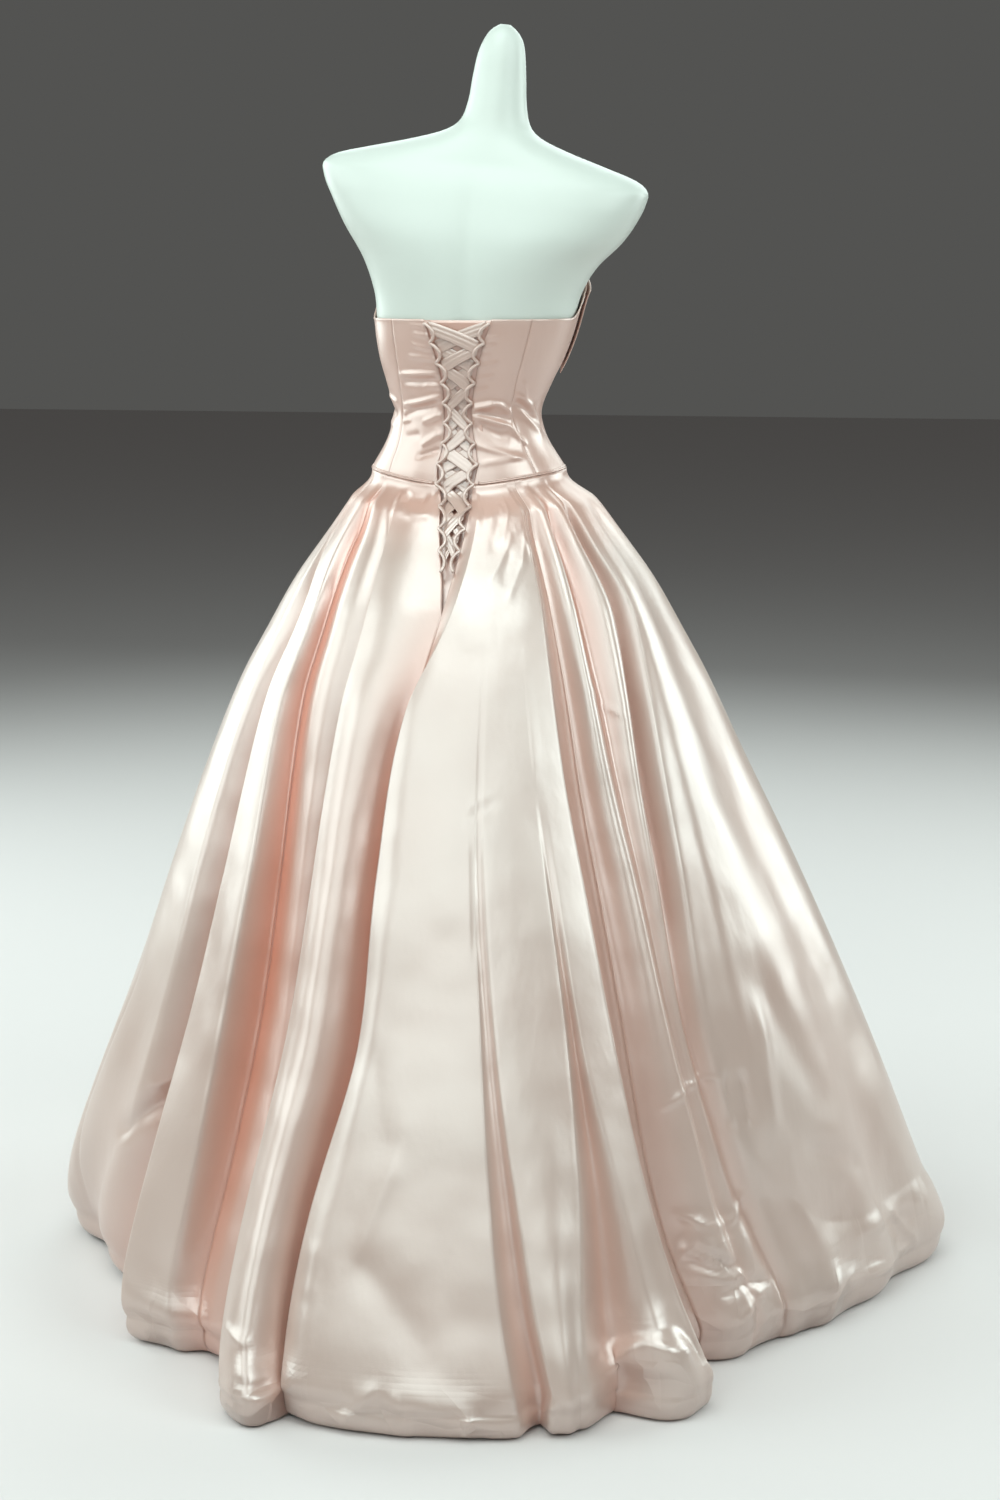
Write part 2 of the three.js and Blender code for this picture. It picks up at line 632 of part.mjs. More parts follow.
// Rouleau loops: one cord along each edge of the opening that bows inward at every loop.
function buildLoops(name, share, inward) {
  const sides = 4;
  const perLoop = 5;
  const path = [];
  for (let k = 0; k < LOOP_COUNT * perLoop; k += 1) {
    const z = LOOP_TOP + 10 - ((k + 0.5) * LOOP_PITCH) / perLoop;
    const bow = Math.max(0, Math.sin(((k + 0.5) / perLoop) * 2 * Math.PI));
    const ease = SKIRT_EASE * smooth((SKIRT_EASE_FROM - z) / SKIRT_EASE_OVER);
    const lift = mix(CORD_LIFT, CORD_TIP_LIFT, bow) + ease;
    const width = (read(OPENING, 2, z) - read(OPENING, 1, z)) * DEG * skirtRadius(0, z);
    const reach = Math.min(LOOP_REACH, CORD_SHARE * width);
    path.push(openingPoint(share, z, lift, inward * mix(CORD_ROOT, reach, bow)));
  }
  const rings = path.map((p, i) => {
    const ahead = path[Math.min(path.length - 1, i + 1)].clone().sub(path[Math.max(0, i - 1)]).normalize();
    const outward = new THREE.Vector3(p.x - formSide(p.z), p.y, 0).normalize();
    const across = ahead.clone().cross(outward).normalize();
    const up = across.clone().cross(ahead);
    return Array.from({ length: sides }, (_, s) => p.clone()
      .addScaledVector(across, CORD_RADIUS * Math.cos((2 * Math.PI * s) / sides))
      .addScaledVector(up, -CORD_RADIUS * Math.sin((2 * Math.PI * s) / sides)));
  });
  addMesh(name, sweep(rings), SATIN);
}

// Lacing ribbon: each half zigzags from loop to loop, over on one leg and under on the next.
function buildRibbon(name, startsLeft) {
  const legs = 4;
  const rings = [];
  for (let k = 0; k < LOOP_COUNT - 1; k += 1) {
    const leftward = (k % 2 === 0) === startsLeft;
    const off = leftward ? RIBBON_OVER : RIBBON_UNDER;
    const from = leftward ? 0 : 1;
    for (let s = 0; s <= legs; s += 1) {
      const share = mix(from, 1 - from, s / legs);
      const z = LOOP_TOP - LOOP_PITCH * (k + s / legs) + RIBBON_RISE;
      const inset = mix(RIBBON_INSET, -RIBBON_INSET, share);
      const turn = leftward ? 1 : -1;
      const corner = (o, u) => openingPoint(
        share, z + (u * RIBBON_HEIGHT) / 2, off + (turn * o * RIBBON_WALL) / 2, inset);
      rings.push([corner(1, 1), corner(1, -1), corner(-1, -1), corner(-1, 1)]);
    }
  }
  addMesh(name, sweep(rings), SATIN_DEEP);
}

buildForm();
buildStand();
buildBodice();
buildBand();
buildWelt();
buildSkirt();
buildModesty();
buildLoops('lacing_loops_left', 0, 1);
buildLoops('lacing_loops_right', 1, -1);
buildRibbon('lacing_ribbon_a', true);
buildRibbon('lacing_ribbon_b', false);
part.children.forEach((mesh) => mesh.geometry.translate(PLACE[0], PLACE[1], 0));

export default part;
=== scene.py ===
# %% [markdown]
# # A laced satin ball gown on a dress form
# The gown is sewn from flat satin panels and hangs on a smooth white form. Each panel is rebuilt here
# as a thin shell on the line of its solid, with the folds and pulls that the real cloth shows, and
# then gets a satin finish. A cloth simulation could drop the panels into place, but pressed pleats
# would not land where they are sewn, so the folds are drawn from tables like a pattern cutter's.
# Tables are in millimetres and degrees. Angles run from centre back (0) through the wearer's right
# side (90) round to the front (180), as a dressmaker walks round the stand. PLACE is where the axis
# that the angles turn about stands in the frame.

# %% Load the frame
import math
import bpy
import numpy as np
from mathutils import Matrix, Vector


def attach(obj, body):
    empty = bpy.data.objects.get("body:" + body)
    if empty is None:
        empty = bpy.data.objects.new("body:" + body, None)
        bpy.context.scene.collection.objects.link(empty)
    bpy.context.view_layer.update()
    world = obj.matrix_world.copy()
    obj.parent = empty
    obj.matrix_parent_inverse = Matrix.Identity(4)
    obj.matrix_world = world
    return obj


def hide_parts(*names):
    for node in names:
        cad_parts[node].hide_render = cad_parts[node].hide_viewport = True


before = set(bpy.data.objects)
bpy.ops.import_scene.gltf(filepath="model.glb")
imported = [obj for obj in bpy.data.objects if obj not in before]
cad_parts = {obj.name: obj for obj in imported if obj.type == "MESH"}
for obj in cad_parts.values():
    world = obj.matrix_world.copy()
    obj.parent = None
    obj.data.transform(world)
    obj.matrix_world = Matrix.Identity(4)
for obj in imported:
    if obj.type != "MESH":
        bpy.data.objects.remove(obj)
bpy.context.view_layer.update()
MM = 0.001
PLACE = np.array([8.3, -9.8, 0.0])

# %% [markdown]
# ## The camera
# The photograph looks at the back of the gown from a little above and from the wearer's right. A wide
# lens close by would make the hem bulge toward the viewer, so a longer lens stands well back. The
# camera is placed by its turn about the stand, its distance and its height, because each of these
# can be judged from the outline by itself.

# %% Camera
VIEW_TURN = math.radians(10.0)
VIEW_TILT = math.radians(10.4)
VIEW_AWAY = 3.81
VIEW_HEIGHT = 1.442
VIEW_SIDE = 0.0073
LENS, SENSOR, FARTHEST = 65.9, 36.0, 60.0


def deselect():
    bpy.ops.object.select_all(action="DESELECT")


deselect()
right_of_view = Vector((-math.cos(VIEW_TURN), -math.sin(VIEW_TURN), 0))
into_view = Vector((math.sin(VIEW_TURN), -math.cos(VIEW_TURN), 0))
stand_point = Vector(PLACE * MM) - right_of_view * VIEW_SIDE - into_view * VIEW_AWAY
stand_point.z = VIEW_HEIGHT
looking = into_view * math.cos(VIEW_TILT) - Vector((0, 0, math.sin(VIEW_TILT)))
facing = looking.to_track_quat("-Z", "Y").to_euler()
bpy.ops.object.camera_add(location=stand_point, rotation=facing)
camera = bpy.context.object
camera.name = "photo_camera"
camera.data.lens = LENS
camera.data.sensor_width = SENSOR
camera.data.clip_end = FARTHEST
bpy.context.scene.camera = camera
print("camera at", [round(v, 3) for v in camera.location], "lens", LENS)

# %% [markdown]
# ## Reading the pattern tables
# A pattern cutter measures a few sections and draws a fair curve through them. `read` does the same
# with one column of a table: a curve that passes through every row. Straight lines between the rows
# would be simpler, but their kinks would show in the gloss. `smooth` eases a value from 0 to 1,
# `eased_below` brings an amount in below a height, and `polar` turns an angle and a reach into a place.

# %% Table helpers
DEG = math.pi / 180


def smooth(t):
    t = np.clip(t, 0, 1)
    return t * t * (3 - 2 * t)


def eased_below(z, amount, start, run):
    return amount * smooth((start - z) / run)


def mix(a, b, t):
    return a + (b - a) * t


def read(rows, column, at):
    keys = np.array([row[0] for row in rows], float)
    values = np.array([row[column] for row in rows], float)
    order = np.arange(len(keys))
    before, after = np.maximum(order - 1, 0), np.minimum(order + 1, len(keys) - 1)
    slope = (values[after] - values[before]) / (keys[after] - keys[before])
    at = np.clip(np.asarray(at, float), keys[0], keys[-1])
    i = np.clip(np.searchsorted(keys, at, side="right") - 1, 0, len(keys) - 2)
    span = keys[i + 1] - keys[i]
    t = (at - keys[i]) / span
    t2, t3 = t * t, t * t * t
    bow = (t3 - 2 * t2 + t) * span * slope[i] + (t3 - t2) * span * slope[i + 1]
    return (2 * t3 - 3 * t2 + 1) * values[i] + (3 * t2 - 2 * t3) * values[i + 1] + bow


def polar(side, angle, radius, z):
    angle = np.asarray(angle, float) * DEG
    x = side - radius * np.sin(angle)
    y = radius * np.cos(angle)
    return np.stack(np.broadcast_arrays(x, y, z), axis=-1).astype(float)


print("a curve through 0, 1 and 4 reads", float(read([(0, 0), (1, 1), (2, 4)], 1, 1.5)), "at 1.5")

# %% [markdown]
# ## The figure
# A dress form is a moulded torso, and the boned bodice takes its shape. It could be sculpted, but the
# bodice, the lacing and the form all have to fit one figure, so the figure is a stack of rounded
# sections. Each has its height, sideways centre, half width, depth behind, depth in front and
# squareness. Two soft mounds add the bust.

# %% Figure tables
# height, sideways centre, half width, depth behind, depth in front, squareness
FORM = [
    (905, 44, 66, 52, 50, 2.2), (922, 44, 112, 84, 80, 2.3), (960, 44, 150, 110, 102, 2.3),
    (1010, 45, 166, 122, 108, 2.3), (1070, 47, 157, 114, 103, 2.3), (1110, 49, 138, 99, 93, 2.2),
    (1140, 51, 127, 93, 89, 2.2), (1165, 52, 115, 88, 89, 2.2), (1192, 53, 103, 82, 87, 2.2),
    (1220, 53, 98.5, 79, 86, 2.2), (1260, 50, 111, 83, 92, 2.3), (1288, 47, 122, 88, 102, 2.3),
    (1316, 44, 130, 93, 112, 2.3), (1345, 41, 136, 97, 117, 2.3), (1380, 38, 142, 101, 115, 2.4),
    (1420, 35, 160, 104, 110, 2.5), (1460, 32, 190, 102, 102, 2.7), (1500, 30, 213, 92, 88, 2.8),
    (1520, 29, 221, 84, 78, 2.8), (1535, 28, 222, 76, 68, 2.8), (1548, 26, 205, 68, 62, 2.6),
    (1562, 23, 158, 62, 58, 2.4), (1576, 20, 108, 56, 54, 2.2), (1590, 17, 68, 50, 50, 2.1),
    (1604, 14, 49, 46, 48, 2.0), (1630, 11, 40, 42, 44, 2.0), (1665, 8, 36, 37, 38, 2.0),
    (1695, 5, 32, 33, 33, 2.0), (1715, 2, 26, 27, 27, 2.0), (1728, 1, 17, 18, 18, 2.0),
    (1735, 0, 7, 8, 8, 2.0),
]
BUST_HEIGHT, BUST_ANGLE, BUST_TALL, BUST_WIDE = 1318, 28, 56, 24
BUST_FORM, BUST_CUP = 13, 15.5


def from_front(angle):
    return np.abs(np.mod(angle, 360) - 180)


def form_radius(angle, z, bust=BUST_FORM):
    angle = np.asarray(angle, float)
    sin, cos = np.abs(np.sin(angle * DEG)), np.cos(angle * DEG)
    depth = np.where(cos > 0, read(FORM, 3, z), read(FORM, 4, z))
    power = read(FORM, 5, z)
    across = ((from_front(angle) - BUST_ANGLE) / BUST_WIDE) ** 2
    along = ((z - BUST_HEIGHT) / BUST_TALL) ** 2
    plain = ((sin / read(FORM, 2, z)) ** power + (np.abs(cos) / depth) ** power) ** (-1 / power)
    return plain + bust * np.exp(-across - along)


def form_side(z):
    return read(FORM, 1, z)


print("figure:", len(FORM), "sections from", FORM[0][0], "to", FORM[-1][0], "mm")

# %% [markdown]
# ## Bodice edges
# The top edge of the bodice runs straight across the back and climbs to two soft peaks in front, and
# the waist seam dips at centre back. The panels could be cut from one shell with knives, but then an
# edge could not be moved later, so every edge is a line of its own. OPENING gives the left and right
# edge of the lacing by height, and PRINCESS the two shaped back seams.

# %% Bodice tables
BODICE_FACE = 4.0
NECK_EASE, NECK_EASE_RUN = 2.5, 50
HIP_EASE, HIP_EASE_FROM, HIP_EASE_RUN = 4.0, 1178, 40
WAIST_SIDE, WAIST_DIP = 1140, 17
TOP_BACK, TOP_SIDE_RISE, TOP_BUST_RISE = 1345, 42, 34
TOP_RISE_FROM, TOP_RISE_RUN = 78, 40
TOP_BUST_TURN, TOP_BUST_WIDE = 146, 26
SIDE_SEAM = 104
OPENING_END = 965
# height, angle of the left line, angle of the right line
OPENING = [
    (965, 0, 0), (1010, -1.6, 2.2), (1050, -5.0, 4.6), (1090, -8.6, 7.6), (1122, -13.5, 12.5),
    (1150, -14.2, 17.0), (1170, -12.5, 17.0), (1195, -10.8, 15.2), (1225, -12.0, 14.0),
    (1262, -14.8, 15.0), (1290, -19.5, 16.5), (1312, -23.5, 18.2), (1345, -29.5, 21.3),
]
PRINCESS = [(1120, -52, 58), (1180, -54, 55), (1225, -55, 49.5), (1280, -53, 48), (1345, -54, 48.5)]


def bodice_radius(angle, z):
    neck = NECK_EASE * smooth((z - TOP_BACK) / NECK_EASE_RUN)
    ease = neck + eased_below(z, HIP_EASE, HIP_EASE_FROM, HIP_EASE_RUN)
    return form_radius(angle, z, BUST_CUP) + ease


def waist_height(angle):
    return WAIST_SIDE - WAIST_DIP * np.maximum(0, np.cos(np.asarray(angle) * DEG)) ** 2


def top_height(angle):
    turn = 180 - from_front(angle)
    side = TOP_SIDE_RISE * smooth((turn - TOP_RISE_FROM) / TOP_RISE_RUN)
    return TOP_BACK + side + TOP_BUST_RISE * np.exp(-(((turn - TOP_BUST_TURN) / TOP_BUST_WIDE) ** 2))


print("waist seam", float(waist_height(0)), "mm up at the back,", WAIST_SIDE, "at the sides")

# %% [markdown]
# ## Skirt folds
# The skirt hangs in folds that fan out from the two side-back seams. They could be sculpted, but a
# sculpted fold is slow to move, so each fold line is a row: its angle at eight heights from waist to
# hem, how far it reaches out at four heights, how round it is (0.06 is a crisp edge, 0.5 a soft
# billow), and at the same four heights how much coral is painted into its depth as bounce light and
# shade. A ring of curves through the lines gives the section at any height. SKIRT gives the plain
# cone under the folds by height: its sideways centre, its reach, and how much flatter it is behind and
# in front.

# %% Skirt tables
# height, sideways centre, reach, flattening
SKIRT = [
    (0, 0, 600, 0), (40, 1, 642, 0), (77, 5, 642, 0), (150, 12, 616, 0), (300, 17, 558, 0),
    (450, 22, 497, 0), (600, 31, 437, 0), (745, 40, 375, 0.01), (850, 43, 328, 0.02),
    (920, 43, 290, 0.04), (990, 43, 250, 0.08), (1060, 43, 200, 0.15), (1096, 44, 174, 0.2),
    (1123, 46, 152, 0.24), (1140, 51, 135, 0.25),
]
# height, angle
CENTRE_SEAM = [(50, -14.4), (250, -12.9), (450, -9.1), (650, -8.2), (850, -5), (965, 0)]
FOLD_HEIGHTS = (1130, 1050, 970, 850, 650, 450, 250, 50)
REACH_HEIGHTS = (970, 750, 450, 50)
# line, angles at FOLD_HEIGHTS, reaches at REACH_HEIGHTS, roundness, painted coral shade at REACH_HEIGHTS
FOLDS = [
    ("seam_right", (0, 0, 0, 0, 0, 0, 0, 0),
     (0.97, 0.89, 0.87, 0.97), 0.30, (0.3, 0.85, 0.8, 0.55)),
    ("back_edge", (15.5, 9.5, 3.5, -5.9, -9.0, -9.8, -13.7, -15.0),
     (1, 0.98, 0.98, 1.012), 0.06, (0, 0, 0, 0)),
    ("back_crest", (18, 13, 7, -1.6, -4.4, -6.8, -10.2, -12.2),
     (1, 1, 1, 1.03), 0.5, (0, 0, 0, 0)),
    ("trough_left", (20.4, 17, 13.5, 11.3, 9.2, 8.8, 9.6, 11.0),
     (1, 1, 1, 1.02), 0.16, (0, 0, 0, 0)),
    ("trough_floor", (21, 18, 14.3, 11.9, 10.0, 10.2, 12.0, 14.0),
     (1, 0.998, 0.986, 0.968), 0.5, (0, 0, 0.2, 0.35)),
    ("trough_right", (22.5, 19.5, 15.8, 13.2, 11.1, 11.2, 13.3, 15.4),
     (1, 1, 0.999, 1.012), 0.2, (0, 0, 0, 0)),
    ("back_middle", (25.5, 23, 19.5, 17.7, 16.3, 15.5, 16.9, 16.9),
     (1, 1, 1, 1.02), 0.4, (0, 0, 0, 0)),
    ("dip_left", (29, 26.5, 23.5, 22.2, 21.6, 21.4, 20.5, 18.4),
     (1, 1, 1, 1.0), 0.3, (0, 0, 0, 0)),
    ("dip_floor", (30.5, 27.8, 25, 23.2, 22.5, 22.9, 24, 23.5),
     (1, 1, 0.974, 0.905), 0.3, (0, 0, 0.25, 0.32)),
    ("dip_right", (33, 30, 27.5, 25.5, 24, 23.9, 27, 30.2),
     (1, 1, 1, 0.975), 0.4, (0, 0, 0, 0)),
    ("back_overlap", (36, 33, 31, 29, 28.4, 28.6, 30.5, 34.6),
     (1, 1, 1, 0.96), 0.3, (0, 0, 0, 0)),
    ("under_right", (39, 35.5, 33, 30.5, 29, 29.4, 31, 35.2),
     (0.94, 0.895, 0.875, 0.825), 0.30, (0.2, 0.35, 0.3, 0.2)),
    ("deep_right", (42, 38.5, 36.5, 35.7, 34.6, 34.4, 35.8, 41),
     (0.90, 0.86, 0.84, 0.76), 0.5, (0.35, 0.4, 0.35, 0.2)),
    ("pleat_right", (48, 44.5, 41.5, 40.2, 40.6, 41.4, 44.5, 48),
     (0.995, 0.93, 0.88, 0.785), 0.5, (0, 0, 0.1, 0)),
    ("tuck_right", (52, 49, 47, 45.3, 44, 43.6, 46.5, 51),
     (0.89, 0.885, 0.855, 0.775), 0.4, (0.7, 0.4, 0.2, 0.1)),
    ("fan_right", (57, 55.5, 54.5, 50.3, 46.5, 45.2, 48.5, 54),
     (0.995, 0.93, 0.865, 0.775), 0.5, (0, 0, 0.1, 0)),
    ("slot_right", (62, 62, 62.6, 56, 50.5, 47.2, 51, 58),
     (0.87, 0.85, 0.84, 0.77), 0.35, (0.3, 0.4, 0.3, 0.1)),
    ("edge_right", (64.2, 64.2, 64.8, 58, 52.4, 49.8, 54, 61),
     (0.985, 0.955, 0.89, 0.785), 0.4, (0, 0, 0, 0)),
    ("panel_right", (69, 69.5, 69, 63.5, 59, 57.5, 62, 69),
     (0.995, 0.98, 0.925, 0.82), 0.5, (0, 0, 0, 0)),
    ("hollow_right", (77, 82, 83, 80, 77, 77, 80, 85),
     (0.955, 0.955, 0.945, 0.875), 0.4, (0, 0.1, 0.1, 0)),
    ("side_right", (88, 95, 98, 99, 99, 99, 99, 101),
     (1, 1, 1, 0.985), 0.5, (0, 0, 0, 0)),
    ("valley_1", (104, 109, 112, 113, 113, 113, 113, 113),
     (0.95, 0.88, 0.85, 0.88), 0.4, (0.5, 0.9, 0.8, 0.3)),
    ("front_1", (119, 123, 126, 127, 127, 128, 129, 129),
     (1, 1, 1, 1), 0.5, (0, 0, 0, 0)),
    ("valley_2", (135, 138, 140, 141, 141, 142, 142, 143),
     (0.95, 0.87, 0.84, 0.86), 0.4, (0.5, 0.9, 0.8, 0.3)),
    ("front_2", (152, 154, 155, 155, 155, 154, 153, 153),
     (1, 1, 1, 1), 0.5, (0, 0, 0, 0)),
    ("valley_3", (167, 168, 169, 170, 170, 170, 169, 168),
     (0.96, 0.9, 0.87, 0.9), 0.4, (0.3, 0.7, 0.7, 0.2)),
    ("front_3", (183, 184, 184, 184, 185, 185, 186, 186),
     (1, 1, 1, 1), 0.5, (0, 0, 0, 0)),
    ("valley_4", (199, 198, 198, 198, 198, 199, 200, 201),
     (0.96, 0.87, 0.84, 0.86), 0.4, (0.5, 0.9, 0.8, 0.3)),
    ("front_4", (214, 213, 212, 212, 212, 211, 211, 211),
     (1, 1, 1, 1), 0.5, (0, 0, 0, 0)),
    ("valley_5", (229, 228, 227, 226, 226, 225, 224, 224),
     (0.95, 0.88, 0.85, 0.88), 0.4, (0.5, 0.8, 0.8, 0.3)),
    ("front_5", (244, 243, 242, 241, 241, 241, 241, 241),
     (1, 1, 1, 1), 0.5, (0, 0, 0, 0)),
    ("valley_6", (260, 260, 260, 260.5, 261, 261, 260, 255),
     (0.95, 0.88, 0.86, 0.9), 0.4, (0.5, 0.9, 0.8, 0.3)),
    ("side_left", (275, 278, 281, 283, 285, 285.5, 281, 270),
     (1, 1, 1, 1.01), 0.5, (0, 0, 0, 0)),
    ("lobe_left", (281, 288, 294, 299, 302, 303, 299, 284),
     (0.99, 0.985, 0.965, 0.9), 0.5, (0, 0, 0, 0.1)),
    ("tuck_left", (287, 290, 303.3, 306.4, 310.4, 311.3, 312, 312.6),
     (0.91, 0.82, 0.77, 0.74), 0.3, (0.5, 0.85, 0.85, 0.6)),
    ("edge_left", (290.5, 291.5, 304.5, 307.3, 311.2, 312, 312.8, 313.8),
     (0.98, 0.955, 0.94, 0.95), 0.16, (0, 0, 0, 0)),
    ("pleat_left", (297, 302.5, 312.4, 316.2, 321.6, 323, 323, 320.6),
     (0.99, 0.975, 0.965, 0.91), 0.4, (0, 0, 0, 0)),
    ("deep_left", (303, 306.5, 314, 317.8, 322.8, 324.8, 325.5, 324.5),
     (0.91, 0.87, 0.85, 0.87), 0.5, (1, 1, 1, 0.5)),
    ("ridge_left", (308, 321, 326.5, 328.3, 330.3, 330.6, 330.5, 330.5),
     (0.99, 0.91, 0.86, 0.88), 0.5, (0, 0.25, 0.55, 0.35)),
    ("under_left", (314, 328.5, 334.2, 335.6, 336.4, 336.3, 336.3, 337.4),
     (0.95, 0.85, 0.80, 0.92), 0.3, (0.1, 0.2, 0.4, 0.3)),
    ("edge_back", (322, 329.5, 335, 336.4, 337.2, 337.1, 337.1, 338.3),
     (0.985, 0.965, 0.96, 1.05), 0.06, (0, 0, 0, 0)),
    ("back_left", (333, 338.5, 341.6, 342.2, 342.5, 342, 341.2, 342.4),
     (1, 1, 1, 1.085), 0.45, (0, 0.12, 0.12, 0)),
    ("seam_left", (360, 360, 360, 360, 360, 360, 360, 360),
     (0.97, 0.89, 0.87, 0.97), 0.30, (0.3, 0.85, 0.8, 0.55)),
]
print("skirt:", len(FOLDS), "fold lines")

# %% Fold lines
GATHER_TOP, GATHER_RUN = 1136, 85
# the painted bounce light and shade on the folds fades out toward the waist seam
FOLD_SHADE_TOP, FOLD_SHADE_RUN = 1142, 60
WAIST_RUN = 40
SIDE_EASE_FROM, SIDE_EASE_RUN = 1090, 40


def down_the_fold(heights, values, z):
    return read(list(zip(heights[::-1], values[::-1])), 1, z)


def fold_angle(fold, z):
    angle = down_the_fold(FOLD_HEIGHTS, fold[1], z)
    opening_column = {"seam_left": 1, "seam_right": 2}.get(fold[0])
    if opening_column:
        open_edge = read(OPENING, opening_column, z)
        angle = angle + np.where(z < OPENING_END, read(CENTRE_SEAM, 1, z), open_edge)
    return angle


def fold_reach(fold, z):
    deep = down_the_fold(REACH_HEIGHTS, fold[2], z)
    return mix(1, deep, smooth((GATHER_TOP - z) / GATHER_RUN))


# painted bounce light and shade: the share of coral a fold line gets at a height
def fold_shade(fold, z):
    return down_the_fold(REACH_HEIGHTS, fold[4], z) * smooth((FOLD_SHADE_TOP - z) / FOLD_SHADE_RUN)


def skirt_radius(angle, z):
    cos = np.cos(np.asarray(angle) * DEG)
    wide = read(SKIRT, 2, z) * (1 - read(SKIRT, 3, z) * cos * cos)
    waist = waist_height(angle)
    return mix(bodice_radius(angle, waist) + BODICE_FACE, wide, smooth((waist - z) / WAIST_RUN))


def skirt_side(z):
    return mix(read(SKIRT, 1, z), form_side(z), smooth((z - SIDE_EASE_FROM) / SIDE_EASE_RUN))


print("hem reaches", round(float(skirt_radius(90, FOLD_HEIGHTS[-1]))), "mm from the axis")

# %% [markdown]
# ## Sheets of cloth
# A panel of satin is a thin sheet that bends but hardly stretches. It starts as Blender's own grid,
# with one vertex for each step across and down the panel, and every vertex is then moved to its place
# on the garment. Pulling a plane into shape by hand would do for one panel, but a grid lets one
# function make them all. A Solidify modifier gives the wall, inward from the face.

# %% Sheet maker
TINY = 1e-9


def grid_normals(points):
    down = np.gradient(points, axis=0)
    across = np.gradient(points, axis=1)
    normal = np.cross(down, across)
    return normal / np.maximum(np.linalg.norm(normal, axis=2, keepdims=True), TINY)


def new_grid(name, rows, cols):
    deselect()
    bpy.ops.mesh.primitive_grid_add(x_subdivisions=cols - 1, y_subdivisions=rows - 1, size=2)
    piece = bpy.context.object
    piece.name = piece.data.name = name
    flat = np.empty(rows * cols * 3)
    piece.data.vertices.foreach_get("co", flat)
    flat = flat.reshape(-1, 3)
    col = np.rint((flat[:, 0] + 1) / 2 * (cols - 1)).astype(int)
    row = np.rint((1 - flat[:, 1]) / 2 * (rows - 1)).astype(int)
    return piece, row, col


def put(piece, points):
    piece.data.vertices.foreach_set("co", ((points + PLACE) * MM).ravel())


def make_sheet(name, points, wall, marks=None):
    piece, row, col = new_grid(name, *points.shape[:2])
    put(piece, points[row, col])
    for mark, values in (marks or {}).items():
        layer = piece.data.attributes.new(mark, "FLOAT", "POINT")
        layer.data.foreach_set("value", values[row, col].astype(np.float32))
    bpy.ops.object.shade_smooth()
    piece.data.update()
    if wall:
        solid = piece.modifiers.new("wall", "SOLIDIFY")
        solid.thickness = wall * MM
        solid.offset = -1
        solid.use_even_offset = False
    return piece


def sheet_area(piece):
    return sum(face.area for face in piece.data.polygons)


def hand_over(piece, node):
    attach(piece, "root")
    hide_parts(node)


print("ready to cut", len(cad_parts), "pieces")

# %% [markdown]
# ## Creases
# Satin shows every pull and every press of the iron. Fine creases could be painted as bumps, but the
# larger ones change the outline of a highlight, so they are moved into the mesh: soft troughs
# (negative depth) or ridges (positive depth) along short lines. Each row gives the two ends as angle
# and height, the half width at each end, the depth, the power of the section (1 sharp, 2 round,
# 6 flat with steep sides) and how far the line bows sideways.

# %% Crease maker
CREASE_FADE, CREASE_FADE_RUN = 0.15, 0.35
SHORTEST = 1e-6


def from_angle(angle, start):
    return np.mod(angle - start + 180, 360) - 180


def crease_field(angle, z, radius, rows):
    total = np.zeros_like(z)
    for a0, z0, a1, z1, wide0, wide1, deep, power, bow in rows:
        u, v = from_angle(angle, a0) * DEG * radius, z - z0
        du, dv = (a1 - a0) * DEG * radius, z1 - z0
        length = np.sqrt(np.maximum(du * du + dv * dv, SHORTEST))
        along = (u * du + v * dv) / length ** 2
        inside = np.clip(along, 0, 1)
        off = np.abs((u * dv - v * du) / length - 4 * bow * inside * (1 - inside))
        fade = smooth((along + CREASE_FADE) / CREASE_FADE_RUN)
        fade = fade * smooth((1 + CREASE_FADE - along) / CREASE_FADE_RUN)
        total += deep * np.exp(-((off / mix(wide0, wide1, inside)) ** power)) * fade
    return total


